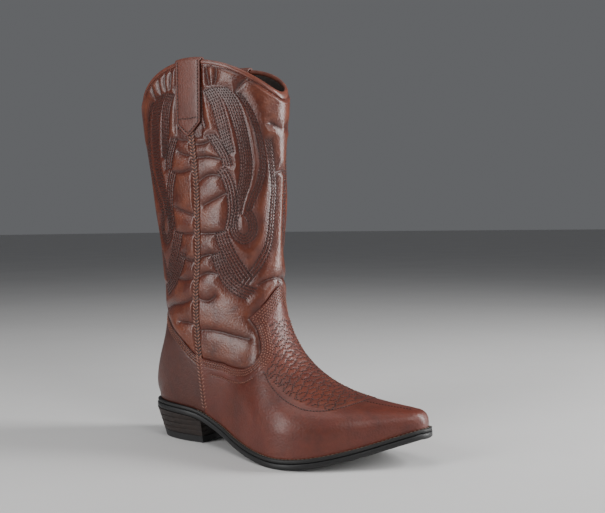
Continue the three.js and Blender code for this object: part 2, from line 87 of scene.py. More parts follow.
# ---- sizes of the pieces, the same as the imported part's
OUTSOLE = 5.0
WELT = 3.0
AIR = 0.3
SOLE_STACK = OUTSOLE + WELT + 2 * AIR
SHAFT_FACE = 0.8
LINING_BACK = 3.6
HEEL_RISE = 28.0
HEEL_TAPER = 0.86
RIM_DIP_FRONT = 41.0
RIM_DIP_BACK = 44.0
RIM_MIDDLE = 64.0
RIM_REACH = 88.0
STRAP_WIDTH = 30.0
STRAP_PLACE = 67.0
STRAP_THICKNESS = 1.4
STRAP_FACE = -0.9
STRAP_FOLD = 3.4
STRAP_INSIDE = 44.0
STRAP_BOX = 307.0
WELT_REACH = 8.0
HEEL_CAP_TOP = 6.7
LIFT_STEP = 4.9
LIFT_HEIGHT = 4.8


def to_frame(points):
    """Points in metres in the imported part's frame, from millimetres in the last's."""
    return (np.asarray(points, float) + FRAME_SHIFT) / 1000


# ---- the last: smooth curves and the surface they carry
def curve_through(rows):
    """A smooth curve through rows of numbers, the first of each row being the place along it."""
    rows = np.asarray(rows, float)
    place, value = rows[:, 0], rows[:, 1:]
    step = np.diff(place)[:, None]
    slope = np.diff(value, axis=0) / step
    tangent = np.empty_like(value)
    tangent[1:-1] = (slope[:-1] * step[1:] + slope[1:] * step[:-1]) / (step[1:] + step[:-1])
    tangent[0] = slope[0] + (slope[0] - slope[1]) * step[0] / (step[0] + step[1])
    tangent[-1] = slope[-1] + (slope[-1] - slope[-2]) * step[-1] / (step[-1] + step[-2])

    def at(where):
        where = np.clip(np.asarray(where, float), place[0], place[-1])
        i = np.clip(np.searchsorted(place, where, side="right") - 1, 0, len(step) - 1)
        length = step[i, 0]
        u = ((where - place[i]) / length)[..., None]
        length = length[..., None]
        rise = u * u * (3 - 2 * u)
        leave = u * (1 - u) ** 2 * length
        arrive = u * u * (u - 1) * length
        return value[i] * (1 - rise) + value[i + 1] * rise + leave * tangent[i] + arrive * tangent[i + 1]

    return at


HEEL_STATION = 14
TOP_STATION = 23

feather_curve = curve_through([
    (-5, 28), (30, 27), (62, 24), (92, 15), (122, 6.5), (155, 1.5), (185, 0), (215, 3), (245, 10.5),
    (268, 18.5), (284, 24)])

outline_rows = [
    (0, 0, 0), (3, 12, 12), (12, 22, 22), (28, 28.5, 28.5), (50, 30.5, 30), (75, 29.5, 27),
    (100, 33.5, 26), (130, 44.5, 30), (158, 55, 36.5), (182, 59.5, 40.5), (205, 57, 40.5),
    (230, 46, 35.5), (252, 30, 27), (268, 18.5, 18.5), (279, 10.5, 10.5), (284, 0, 0)]


def round_ends(place):
    """A place along the foot as an angle, which makes the outline's ends round."""
    return np.arccos(np.clip(1 - 2 * np.asarray(place, float) / FOOT_LENGTH, -1, 1))


outline_curve = curve_through([(round_ends(x), outer, inner) for x, outer, inner in outline_rows])
centre_curve = curve_through([(0, 0), (90, 0), (150, -1.5), (190, -1), (240, 8), (284, 17)])

# The ridge over toe, instep and shin: station, place, height above the ball.
ridge_curve = curve_through([
    (0, 284, 24), (1, 282.3, 33.5), (2, 277, 37.5), (3, 266.5, 38.8), (4, 250, 40.5), (5, 230, 43.5),
    (6, 209, 49), (7, 189, 58.5), (8, 171, 72), (9, 157, 88.5), (10, 148, 107), (11, 144, 127.5),
    (12, 143, 147), (13, 142.7, 164), (14, 142.7, 177.5), (15, 143.1, 189.5), (16, 143.9, 202),
    (17, 145, 217), (18, 146, 234.5), (19, 147, 255.5), (20, 148.2, 280), (21, 150.2, 310),
    (22, 153.4, 346), (23, 157.5, 386)])

# The line opposite it: along the feather line to the heel, then up the back of the leg.
footing_curve = curve_through([
    (0, 284, 24), (1, 282.3, 24), (2, 277, 22), (3, 266.5, 18), (4, 250, 12), (5, 230, 6.5),
    (6, 209, 2), (7, 188, 0), (8, 168, 0.5), (9, 149, 2), (10, 126, 6), (11, 97, 14), (12, 64, 24),
    (13, 30, 27), (14, -4.5, 28), (15, -4.5, 53), (16, 5, 81), (17, 9, 111), (18, 6, 146),
    (19, -1, 186), (20, -9.5, 231), (21, -18, 281), (22, -26, 336), (23, -32, 386)])

# Half widths and fullness of each section: station, outer, inner, widest place, roundness above and below.
section_curve = curve_through([
    (0, 0, 0, 0.4, 2.6, 2.2), (1, 6, 6, 0.4, 2.6, 2.2), (2, 12, 12, 0.4, 2.6, 2.2),
    (3, 19, 19, 0.4, 2.6, 2.2), (4, 29, 27.5, 0.4, 2.5, 2.2), (5, 42, 37, 0.4, 2.4, 2.2),
    (6, 51.5, 43.5, 0.38, 2.2, 2.2), (7, 54.5, 45.5, 0.35, 2, 2.2), (8, 51, 43.5, 0.32, 1.85, 2.2),
    (9, 44.5, 39.5, 0.31, 1.8, 2.2), (10, 37.5, 35, 0.33, 1.8, 2.2), (11, 33.5, 32.5, 0.37, 1.85, 2.2),
    (12, 34, 33.5, 0.42, 1.9, 2.2), (13, 36.5, 36.5, 0.46, 1.95, 2.2), (14, 38, 38, 0.5, 2, 2),
    (15, 38.4, 38.4, 0.5, 2, 2), (16, 38.6, 38.6, 0.5, 2, 2), (17, 38.8, 38.8, 0.5, 2, 2),
    (18, 39, 39, 0.5, 2, 2), (19, 39.2, 39.2, 0.5, 2, 2), (20, 39.4, 39.4, 0.5, 2, 2),
    (21, 39.4, 39.4, 0.5, 2, 2), (22, 39.2, 39.2, 0.5, 2, 2), (23, 39, 39, 0.5, 2, 2)])


def centre_line(x):
    """How far the foot's middle lies to the inner side at a length."""
    return centre_curve(x)[..., 0]


def feather_height(x):
    """The height of the feather line, where upper meets sole, over the floor."""
    return SOLE_STACK + feather_curve(x)[..., 0]


def half_width(x, side, margin=0.0):
    """The outline's half width on a side, with the outline grown by margin all round."""
    place = (np.asarray(x, float) + margin) / (FOOT_LENGTH + 2 * margin) * FOOT_LENGTH
    widths = outline_curve(round_ends(place))
    to_tip = np.clip(np.minimum(place, FOOT_LENGTH - place) / 8, 0, 1)
    ramp = np.sqrt(1 - (1 - to_tip) ** 2)
    wide = np.where(np.asarray(side) < 0, widths[..., 0], widths[..., 1]) + margin * ramp
    return np.where((place > 0) & (place < FOOT_LENGTH), np.maximum(wide, 0), 0)


def profile_point(curve, station, inset, inwards):
    """A point of a profile line, moved inwards by inset."""
    step = 0.02
    here = curve(station)
    before = curve(np.maximum(station - step, 0))
    after = curve(np.minimum(station + step, TOP_STATION))
    run = after - before
    run = run / (np.hypot(run[..., 0], run[..., 1])[..., None] + 1e-12)
    x = here[..., 0] - inwards * inset * run[..., 1]
    z = here[..., 1] + inwards * inset * run[..., 0] + SOLE_STACK
    return x, z


def form(station, share, side, inset=0.0):
    """Points of the upper's surface: station, share of the way from footing to ridge, side, inset."""
    station, share, side = np.broadcast_arrays(
        np.asarray(station, float), np.asarray(share, float), np.asarray(side, float))
    top_x, top_z = profile_point(ridge_curve, station, inset, 1)
    back_x, back_z = profile_point(footing_curve, station, inset, -1)
    sole_x = inset + footing_curve(station)[..., 0] * (FOOT_LENGTH - 2 * inset) / FOOT_LENGTH
    blend = np.clip((station - HEEL_STATION) / 0.25, 0, 1)
    low_x = sole_x * (1 - blend) + back_x * blend
    low_z = feather_height(sole_x) * (1 - blend) + back_z * blend
    outer, inner, widest, above, below = np.moveaxis(section_curve(station), -1, 0)
    foot = half_width(low_x, side, -inset) * (station <= HEEL_STATION)
    wide = np.maximum(np.where(side < 0, outer, inner) - inset, 0)
    gap = wide - foot
    wide = (wide + foot + np.sqrt(gap ** 2 + (6 * foot / (foot + 20)) ** 2)) / 2
    length = np.hypot(top_x - low_x, top_z - low_z) + 1e-9
    lower = widest * length
    upper = length - lower
    low_arc = np.hypot(lower, wide - foot)
    split = low_arc / (low_arc + np.hypot(upper, wide) + 1e-9)
    turn_low = np.clip(share / np.maximum(split, 1e-6), 0, 1) * np.pi / 2
    turn_high = np.clip((share - split) / np.maximum(1 - split, 1e-6), 0, 1) * np.pi / 2
    under = share < split
    along = np.where(under, lower * (1 - np.cos(turn_low) ** (2 / below)),
                     lower + upper * np.sin(turn_high) ** (2 / above))
    across = np.where(under, foot + (wide - foot) * np.sin(turn_low) ** (2 / below),
                      wide * np.maximum(np.cos(turn_high), 0) ** (2 / above))
    x = low_x + (top_x - low_x) * along / length
    z = low_z + (top_z - low_z) * along / length
    return np.stack([x, side * across + centre_line(x), z], -1)


def rim_height(x):
    """The rim's height over the floor: high at the sides, dipping to a point in front and behind."""
    away = (np.asarray(x, float) - RIM_MIDDLE) / RIM_REACH
    dip = np.where(away > 0, RIM_DIP_FRONT, RIM_DIP_BACK)
    return BOOT_HEIGHT - dip + dip * np.maximum(1 - away * away, 0) ** 0.7


seam_curve = curve_through([
    (0, 76.5), (30, 76.5), (80, 74), (100, 72.8), (150, 72.8), (175, 75.5), (200, 75.8), (250, 75),
    (291, 70.5), (329, 67), (400, 67)])


def seam_place(z):
    """Where the side seam runs, as a length at a height."""
    return seam_curve(z)[..., 0]


def spread(line, count, placed=None):
    """The same line as count points an even distance apart, measured along it or along its placed points."""
    placed = line if placed is None else placed
    reach = np.r_[0, np.cumsum(np.linalg.norm(np.diff(placed, axis=0), axis=1))]
    even = np.linspace(0, reach[-1], count)
    return np.column_stack([np.interp(even, reach, line[:, k]) for k in range(line.shape[1])])


def evenly_placed(line, side, count):
    """A line of stations and shares as count points that lie evenly along the surface."""
    return spread(line, count, form(line[:, 0], line[:, 1], side))


def smooth_line(points, count):
    """A smooth line through drawn points, as count evenly spaced ones."""
    points = np.asarray(points, float)
    if len(points) < 3:
        return spread(points, count)
    reach = np.r_[0, np.cumsum(np.linalg.norm(np.diff(points, axis=0), axis=1))]
    curve = curve_through(np.column_stack([reach, points]))
    return spread(curve(np.linspace(0, reach[-1], max(8 * len(points), count))), count)


def beside(edge, ways, distance):
    """A line alongside an edge, moved over the surface to its left by distance."""
    run = np.gradient(edge, axis=0)
    run /= np.linalg.norm(run, axis=1)[:, None] + 1e-12
    return edge + np.cross(ways, run) * distance


def stretches(line, fits, least=6):
    """The unbroken stretches of a line along which fits holds."""
    cuts = np.flatnonzero(np.diff(fits.astype(int))) + 1
    parts = zip(np.split(line, cuts), np.split(fits, cuts))
    return [part for part, kept in parts if kept[0] and len(part) > least]


def ease(value, low, high):
    """A soft step from 0 at low to 1 at high."""
    share = np.clip((value - low) / (high - low), 0, 1)
    return share * share * (3 - 2 * share)


def relax(points, times):
    """Evens out a grid of points while its border stays where it is."""
    points = points.copy()
    for _ in range(times):
        points[1:-1, 1:-1] = (
            points[:-2, 1:-1] + points[2:, 1:-1] + points[1:-1, :-2] + points[1:-1, 2:]) / 4
    return points


# ---- places on the last, found from the side
TABLE_STATIONS = np.linspace(0, TOP_STATION, 116)
TABLE_SHARES = np.linspace(0.01, 0.99, 45)


def at_place(x, z, side, inset=0.0):
    """The station and share of the surface point at a given length and height on a side."""
    x, z = np.broadcast_arrays(np.asarray(x, float), np.asarray(z, float))
    shape = x.shape
    x, z = x.ravel(), z.ravel()
    table = form(TABLE_STATIONS[:, None], TABLE_SHARES[None], side, inset).reshape(-1, 3)
    station, share = np.meshgrid(TABLE_STATIONS, TABLE_SHARES, indexing="ij")
    station, share = station.ravel(), share.ravel()
    pick = np.array([np.argmin((table[:, 0] - a) ** 2 + (table[:, 2] - b) ** 2) for a, b in zip(x, z)])
    t, v = station[pick].copy(), share[pick].copy()
    step = 0.004
    for _ in range(10):
        here = form(t, v, side, inset)
        by_t = (form(t + step, v, side, inset) - here) / step
        by_v = (form(t, v + step, side, inset) - here) / step
        dx, dz = x - here[:, 0], z - here[:, 2]
        size = by_t[:, 0] * by_v[:, 2] - by_t[:, 2] * by_v[:, 0]
        size = np.where(np.abs(size) < 1e-6, 1e-6, size)
        t = np.clip(t + np.clip((dx * by_v[:, 2] - dz * by_v[:, 0]) / size, -0.4, 0.4), 0, TOP_STATION)
        v = np.clip(v + np.clip((dz * by_t[:, 0] - dx * by_t[:, 2]) / size, -0.08, 0.08), 0, 1)
    return t.reshape(shape), v.reshape(shape)


def form_ways(station, share, side, inset=0.0):
    """The unit ways out of the surface at places on it."""
    step = 0.01
    station = np.clip(station, step, TOP_STATION - step)
    share = np.clip(share, step, 1 - step)
    by_t = form(station + step, share, side, inset) - form(station - step, share, side, inset)
    by_v = form(station, share + step, side, inset) - form(station, share - step, side, inset)
    out = np.cross(by_t, by_v) * side
    return out / (np.linalg.norm(out, axis=-1)[..., None] + 1e-12)


# ---- meshes
def add_object(name, data):
    """A new object in the scene."""
    made = bpy.data.objects.new(name, data)
    bpy.context.scene.collection.objects.link(made)
    return made


def grid_faces(rows, columns, ring=False, flip=False):
    """The four-cornered faces of a grid of points; ring joins the last column to the first."""
    r, c = np.meshgrid(np.arange(rows - 1), np.arange(columns if ring else columns - 1), indexing="ij")
    after = (c + 1) % columns
    low, high = r * columns, (r + 1) * columns
    faces = np.stack([low + c, low + after, high + after, high + c], -1).reshape(-1, 4)
    return faces[:, ::-1] if flip else faces


def grid_mesh(name, points, ring=False, flip=False):
    """A mesh object over a grid of points in the last's millimetres."""
    faces = grid_faces(*points.shape[:2], ring=ring, flip=flip)
    mesh = bpy.data.meshes.new(name)
    mesh.from_pydata(to_frame(points.reshape(-1, 3)).tolist(), [], [tuple(face) for face in faces])
    mesh.validate()
    return add_object(name, mesh)


def ways_out(points, middle=None):
    """The unit vectors that point out of a grid of points, and whether its faces have to be flipped."""
    down = np.gradient(points, axis=0)
    across = np.gradient(points, axis=1)
    out = np.cross(across, down)
    out /= np.linalg.norm(out, axis=-1)[..., None] + 1e-12
    middle = points.reshape(-1, 3).mean(0) if middle is None else np.asarray(middle, float)
    inwards = np.sum(out * (points - middle)) < 0
    return (-out, True) if inwards else (out, False)


def merge_doubles(made):
    """Joins vertices that meet, so that poles and seams are closed."""
    reach = 2e-6
    work = bmesh.new()
    work.from_mesh(made.data)
    bmesh.ops.remove_doubles(work, verts=work.verts, dist=reach)
    bmesh.ops.dissolve_degenerate(work, edges=work.edges, dist=reach / 4)
    work.to_mesh(made.data)
    work.free()


def shade_smooth(made, angle=None):
    """Smooth shading, with edges sharper than angle degrees left sharp."""
    made.data.polygons.foreach_set("use_smooth", [True] * len(made.data.polygons))
    if angle is not None:
        made.data.set_sharp_from_angle(angle=math.radians(angle))
    made.data.update()
    return made


def search_tree(points):
    tree = kdtree.KDTree(len(points))
    for i, point in enumerate(points):
        tree.insert(point, i)
    tree.balance()
    return tree


def nearest(points, targets):
    """For each point the distance to the nearest target, and which one that is."""
    tree = search_tree(targets)
    found = [tree.find(point) for point in points.reshape(-1, 3)]
    return np.array([f[2] for f in found]), np.array([f[1] for f in found])


def nearest_gap(points, lines):
    """For each point of a grid the distance to the nearest of some lines."""
    return nearest(points, np.concatenate(lines))[0].reshape(points.shape[:-1])


def signed_gap(points, edge, ways):
    """How far points lie to the left of an edge, measured over the surface."""
    away, which = nearest(points, edge)
    run = np.gradient(edge, axis=0)
    left = np.cross(ways, run)
    left /= np.linalg.norm(left, axis=1)[:, None] + 1e-12
    to_left = np.sum((points.reshape(-1, 3) - edge[which]) * left[which], axis=1)
    return (np.sign(to_left) * away).reshape(points.shape[:-1])


class Skin:
    """Points of a finished surface and the ways out of it, to lay cords and stitches on."""

    def __init__(self, points, out):
        self.points = points.reshape(-1, 3)
        self.out = out.reshape(-1, 3)
        self.tree = search_tree(self.points)

    def lay(self, line, lift=0.0):
        """A line laid on the surface, and the ways out along it."""
        laid = []
        ways = []
        for point in line:
            near = self.tree.find_n(point, 4)
            weights = np.array([1 / (n[2] + 0.05) for n in near])
            weights /= weights.sum()
            picked = [n[1] for n in near]
            way = weights @ self.out[picked]
            way /= np.linalg.norm(way) + 1e-12
            foot = weights @ self.points[picked]
            laid.append(point - way * np.dot(point - foot, way) + way * lift)
            ways.append(way)
        return np.array(laid), np.array(ways)


# How the leather rises beside a row of stitches: a sharp ridge close by and a wide soft puff, and how far
# its dents and folds reach. Dents, folds and the panels' turned-in edges are darkened as painted shade.
RIDGE = 0.5
RIDGE_REACH = 0.8
PUFF_REACH = 5.0
DENT_REACH = 0.6
ROLL_REACH = 2.2
LEATHER_EDGE = 1.6
EDGE_DENT = 0.8


class Leather:
    """A leather panel: a grid of points on the last, and the height of its surface over the last."""

    def __init__(self, points):
        self.flat = points
        self.out, self.flip = ways_out(points)
        self.height = np.zeros(points.shape[:2])
        # Where the leather is darkened as painted shade: stitch grooves, folds and turned-in edges.
        self.dent_shade = np.zeros(points.shape[:2])

    def sew(self, rows, puff):
        """Sinks the leather along rows of stitches, so that it puffs up between them."""
        away = nearest_gap(self.flat, rows)
        self.height += RIDGE * (1 - np.exp(-(away / RIDGE_REACH) ** 2))
        self.height += puff * (1 - np.exp(-(away / PUFF_REACH) ** 2))
        # Painted shade in the grooves along the stitch rows.
        self.dent_shade = np.maximum(self.dent_shade, np.exp(-(away / DENT_REACH) ** 2))

    def crease(self, lines, depth, width, shoulder):
        """Folds the leather along lines, deepest in their middle, with a soft roll on both sides."""
        ends = [np.sin(np.pi * np.linspace(0.04, 0.96, len(line))) ** 0.4 for line in lines]
        away, which = nearest(self.flat, np.concatenate(lines))
        strength = np.concatenate(ends)[which].reshape(self.height.shape)
        away = away.reshape(self.height.shape)
        fold = np.exp(-(away / width) ** 2)
        roll = np.exp(-((away - shoulder) / ROLL_REACH) ** 2)
        self.height += strength * depth * (0.35 * roll - fold)
        # Painted shade down the middle of each fold.
        self.dent_shade = np.maximum(self.dent_shade, 0.9 * strength * fold)

    def finish(self, name, turn_in=LEATHER_EDGE):
        """The panel's mesh, its edges turned in by the leather's thickness, and its skin."""
        top = self.flat + self.out * self.height[..., None]
        out, _ = ways_out(top)
        if np.sum(out * self.out) < 0:
            out = -out
        edged = np.pad(top, ((1, 1), (1, 1), (0, 0)), mode="edge")
        ways = np.pad(self.out, ((1, 1), (1, 1), (0, 0)), mode="edge")
        border = np.ones(edged.shape[:2], bool)
        border[1:-1, 1:-1] = False
        edged[border] -= ways[border] * turn_in
        made = grid_mesh(name, edged, flip=self.flip)
        # The turned-in border is darkened as painted shade as well.
        dent_shade = np.pad(self.dent_shade, 1, constant_values=EDGE_DENT)
        height = np.pad(self.height, 1, mode="edge")
        for label, values in (("dent_shade", dent_shade), ("height", height)):
            layer = made.data.attributes.new(label, "FLOAT", "POINT")
            layer.data.foreach_set("value", values.ravel().astype(np.float32))
        merge_doubles(made)
        shade_smooth(made)
        return made, Skin(top, out)


# ---- the shaft's panels, each a grid from the outer side seam to the inner one
def level_line(height, cloud, front, columns):
    """The level line round one side at a height, from the side seam to the front or back centre."""
    line = np.array([[np.interp(height, column[:, 2], column[:, k]) for k in range(3)]
                     for column in np.moveaxis(cloud, 1, 0)])
    seam = seam_place(np.array(height))
    first = int(np.argmax(line[:, 0] > seam))
    gap = line[first - 1:first + 1, 0] - seam
    start = line[first - 1] + (line[first] - line[first - 1]) * gap[0] / (gap[0] - gap[1])
    kept = line[first:] if front else line[:first][::-1]
    return spread(np.concatenate([[start], kept]), columns)


def shaft_grid(front, columns, rows, lowest):
    """Points of the front or back shaft panel, from its hidden lower edge to just under the rim."""
    levels = np.linspace(lowest - 1, STRAP_TOP + 2, 130)
    shares = np.linspace(0, 1, 121)
    stations = np.linspace(5, TOP_STATION, 420)
    halves = []
    for side in (OUTER, INNER):
        cloud = form(stations[:, None], shares[None], side, SHAFT_FACE)
        slices = np.array([level_line(level, cloud, front, columns) for level in levels])
        half = np.empty((rows, columns, 3))
        for i in range(columns):
            line = slices[:, i]
            over = line[:, 2] - (rim_height(line[:, 0]) - 2.0)
            first = int(np.argmax(over > 0))
            below = first - 1
            share = over[below] / (over[below] - over[first])
            top = line[below, 2] + (line[first, 2] - line[below, 2]) * share
            heights = np.linspace(lowest, top, rows)
            half[:, i] = np.column_stack([np.interp(heights, line[:, 2], line[:, k]) for k in range(3)])
        halves.append(half)
    return np.concatenate([halves[0], halves[1][:, ::-1][:, 1:]], axis=1)


def around(points, front):
    """Each grid point's distance round from its side seam, measured level."""
    middle = points.shape[1] // 2
    steps = np.linalg.norm(np.diff(points[..., :2], axis=1), axis=-1)
    start = np.zeros((len(points), 1))
    left = np.concatenate([start, np.cumsum(steps[:, :middle], axis=1)], axis=1)
    right = np.concatenate([start, np.cumsum(steps[:, ::-1][:, :middle], axis=1)], axis=1)
    reach = np.concatenate([left, right[:, ::-1][:, 1:]], axis=1)
    return reach if front else -reach


class Quarter:
    """One side of one shaft panel, as a map from (round, height) to points on the flat surface."""

    def __init__(self, points, reach):
        self.points = points.reshape(-1, 3)
        self.places = np.column_stack([reach.ravel(), points[..., 2].ravel(), np.zeros(reach.size)])
        self.tree = search_tree(self.places)

    def point(self, reach, height):
        near = self.tree.find_n((reach, height, 0), 4)
        weights = np.array([1 / (n[2] + 0.02) ** 2 for n in near])
        return weights @ self.points[[n[1] for n in near]] / weights.sum()

    def line(self, places):
        return np.array([self.point(*place) for place in places])


# How far round from the side seam, how low and how high the stitched bands may run.
BANDS_REACH = 86.0
BANDS_LOW = 130.0
BANDS_HIGH = 345.0

# Bands of stitching on a quarter of the shaft: rows between a left and a right border, each drawn as
# (distance round from the side seam, height over the floor).
BANDS = [
    (5, [(19, 331), (26, 318), (30, 302), (33, 288), (38, 272)],
        [(28, 333), (36, 321), (40, 305), (42, 290), (44, 274)]),
    (6, [(31, 333), (41, 319), (47, 301), (50, 282), (50, 262), (46, 245), (41, 230), (38, 216)],
        [(44, 332), (54, 318), (59, 300), (61, 282), (61, 262), (57, 246), (51, 232), (47, 218)]),
    (3, [(52, 327), (62, 312), (67, 296), (69, 278), (69, 262), (64, 247), (57, 234), (52, 221)],
        [(57, 326), (67, 311), (72, 295), (74, 277), (74, 262), (69, 246), (62, 233), (56, 220)]),
    (3, [(77, 284), (78, 262), (77, 240), (74, 222), (72, 205), (68, 188), (61, 176), (53, 164), (46, 154)],
        [(82, 284), (83, 262), (82, 240), (79, 222), (77, 203), (73, 185), (66, 172), (58, 160), (51, 149)]),
    (4, [(19, 289), (25, 279), (30, 270), (32, 262)], [(27, 290), (34, 281), (39, 271), (41, 262)]),
    (4, [(26, 256), (31, 246), (34, 232), (34, 216), (31, 204)],
        [(34, 260), (40, 249), (43, 233), (43, 217), (40, 206)]),
    (4, [(37, 216), (36, 205), (40, 195), (49, 190), (58, 195), (61, 205), (59, 215), (54, 222)],
        [(44, 214), (43, 206), (44.5, 201), (49, 198), (53, 201), (54, 206), (53, 211), (50, 216)]),
    (5, [(21, 200), (24, 190), (30, 178), (37, 166), (45, 155)],
        [(32, 202), (36, 192), (41, 181), (48, 170), (56, 160)]),
    (5, [(17, 180), (21, 168), (28, 156), (39, 146), (53, 140)],
        [(27, 183), (31, 172), (37, 162), (47, 154), (61, 149)]),
    (2, [(13, 336), (12.5, 322), (12.5, 306), (14, 297)], [(16, 334), (15.5, 321), (15.5, 307), (17, 299)]),
]

# Folds that the leather has taken in wear, round and height as above, for the front and the back quarter.
FRONT_FOLDS = [
    [(4, 283), (14, 283), (22, 286)], [(4, 270), (20, 270), (32, 267)],
    [(5, 249), (18, 254), (29, 252)], [(5, 200), (20, 200), (32, 202)],
    [(4, 178), (12, 180), (20, 180)], [(4, 160), (12, 163), (22, 162)],
    [(4, 139), (13, 137), (22, 142)], [(4, 109), (24, 109), (40, 106), (57, 103)],
    [(8, 226), (20, 231), (34, 237)], [(22, 353), (23, 345), (25, 337)],
    [(33, 354), (33, 345), (31, 337)], [(66, 340), (58, 335), (52, 328)],
    [(62, 128), (74, 133), (88, 133)], [(84, 255), (92, 257)], [(83, 299), (92, 296)],
    [(62, 152), (76, 158), (90, 156)]]
BACK_FOLDS = [
    [(-4, 287), (-12, 288), (-22, 290)], [(-4, 260), (-18, 258), (-32, 259)],
    [(-4, 217), (-18, 221), (-32, 226)], [(-4, 174), (-12, 175), (-22, 178)],
    [(-4, 139), (-16, 134), (-36, 131), (-54, 126)], [(-5, 115), (-22, 116)],
    [(-4, 273), (-12, 274), (-20, 278)], [(-4, 200), (-20, 200), (-32, 202)],
    [(-22, 352), (-23, 344), (-24, 337)], [(-31, 352), (-32, 344), (-30, 336)],
    [(-42, 349), (-41, 341), (-38, 334)], [(-54, 344), (-52, 337), (-47, 331)],
    [(-4, 158), (-13, 156), (-26, 157)]]


def band_rows(count, left, right, mirrored):
    """Rows of stitches spread evenly from one border of a band to the other."""
    a = smooth_line(left, 90)
    b = smooth_line(right, 90)
    rows = [a + (b - a) * share for share in np.linspace(0, 1, count)]
    flip = np.array([-1.0 if mirrored else 1.0, 1.0])
    return [row * flip for row in rows]


def quarters(points, reach):
    """The outer and the inner quarter of a shaft panel's grid."""
    middle = points.shape[1] // 2
    return [Quarter(points[:, :middle + 1], reach[:, :middle + 1]),
            Quarter(points[:, middle:], reach[:, middle:])]


def on_panel(rows):
    """The rows with only those points that stay on the panel."""
    kept = []
    for row in rows:
        inside = row[(np.abs(row[:, 0]) < BANDS_REACH) & (row[:, 1] > BANDS_LOW) & (row[:, 1] < BANDS_HIGH)]
        if len(inside) > 6:
            kept.append(inside)
    return kept


# ---- the foot's panels
# The vamp's upper edge on a side, from the side seam round the shaft's rounded foot to the tongue, drawn
# as station, share and how far up the toe its line of the grid ends.
VAMP_EDGE = [
    (12.62, 0.385, 0.30), (12.30, 0.383, 0.345), (11.75, 0.391, 0.39), (11.15, 0.418, 0.44),
    (10.55, 0.470, 0.50), (10.10, 0.540, 0.56), (9.88, 0.610, 0.63), (9.95, 0.655, 0.69),
    (10.30, 0.676, 0.74), (10.80, 0.677, 0.79), (11.25, 0.668, 0.825), (11.66, 0.656, 0.855)]
TONGUE_EDGE = [
    (11.66, 0.656, 0.855), (11.50, 0.735, 0.885), (11.45, 0.82, 0.92), (11.58, 0.91, 0.96),
    (11.72, 1.0, 1.0)]

# The counter's upper edge, from the side seam to the back of the heel, as length and height.
COUNTER_EDGE = [(73.6, 82.6), (65, 88.1), (53, 98.1), (39, 108), (26, 116.6), (17, 121.5), (11, 124.5)]
COUNTER_TOP = 126.0


def seam_edge(side, count, shift=0.0):
    """The lower side seam from the sole up, as station and share, moved forward by shift."""
    stations = np.linspace(11.0, 12.9, 80)
    shares = np.linspace(0, 0.6, 160)
    points = form(stations[:, None], shares[None], side)
    edge = []
    for share, column in zip(shares, np.moveaxis(points, 1, 0)):
        over = column[:, 0] - (seam_place(column[:, 2]) + shift)
        k = int(np.argmax(over < 0))
        if k == 0:
            continue
        at = stations[k - 1] + (stations[k] - stations[k - 1]) * over[k - 1] / (over[k - 1] - over[k])
        edge.append((at, share))
    edge = np.array([e for e in edge if e[1] <= 0.385])
    return spread(edge, count)


def vamp_border(side, rows):
    """The vamp's rear border on a side, up the seam and round the sweep to the tongue's peak."""
    seam = seam_edge(side, 24)
    seam = np.column_stack([seam, np.linspace(0, VAMP_EDGE[0][2], len(seam))])
    sweep = np.array(VAMP_EDGE, float)
    sweep[0, :2] = seam[-1, :2]
    parts = [seam]
    for drawn, count in ((sweep, 60), (np.array(TONGUE_EDGE, float), 30)):
        curve = curve_through(np.column_stack([np.arange(len(drawn)), drawn]))
        parts[-1] = parts[-1][:-1]
        parts.append(curve(np.linspace(0, len(drawn) - 1, count)))
    return evenly_placed(np.concatenate(parts), side, rows)


def vamp_grid(rows, columns):
    """The vamp from the outer feather line over the foot to the inner one; columns run to the toe."""
    halves = []
    for side in (OUTER, INNER):
        left = vamp_border(side, rows)
        forward = np.linspace(0, 1, columns)[None]
        station = left[:, :1] * (1 - forward)
        share = left[:, 2:3] + (left[:, 1:2] - left[:, 2:3]) * (1 - forward) ** 6
        halves.append(form(station, share, side))
    return np.concatenate([halves[0], halves[1][::-1][1:]], axis=0)


def counter_grid(rows, columns):
    """The heel counter from the outer side seam round to the inner one; rows run from the sole up."""
    halves = []
    for side in (OUTER, INNER):
        seam = spread(seam_edge(side, 20), rows)
        drawn = smooth_line(COUNTER_EDGE, 60)
        station, share = at_place(drawn[:, 0], drawn[:, 1], side)
        back = np.linspace(HEEL_STATION, TOP_STATION, 900)
        peak = back[np.argmax(form(back, 0, side)[:, 2] > COUNTER_TOP)]
        top = np.concatenate([seam[-1:], np.column_stack([station, share])[1:], [(peak, 0.0)]])
        top = evenly_placed(top, side, columns)
        back = np.column_stack([np.linspace(HEEL_STATION, top[-1, 0], 60), np.zeros(60)])
        back = evenly_placed(back, side, rows)
        foot = np.column_stack([np.linspace(seam[0, 0], HEEL_STATION, 60), np.zeros(60)])
        foot = evenly_placed(foot, side, columns)
        seam = evenly_placed(seam, side, rows)
        a = np.linspace(0, 1, columns)[None, :, None]
        b = np.linspace(0, 1, rows)[:, None, None]
        place = (1 - a) * seam[:, None] + a * back[:, None] + (1 - b) * foot[None] + b * top[None]
        lowest = (1 - a) * seam[0] + a * back[0]
        highest = (1 - a) * seam[-1] + a * back[-1]
        place -= (1 - b) * lowest + b * highest
        halves.append(form(place[..., 0], np.maximum(place[..., 1], 0), side))
    return relax(np.concatenate([halves[0], halves[1][:, ::-1][:, 1:]], axis=1), 60)


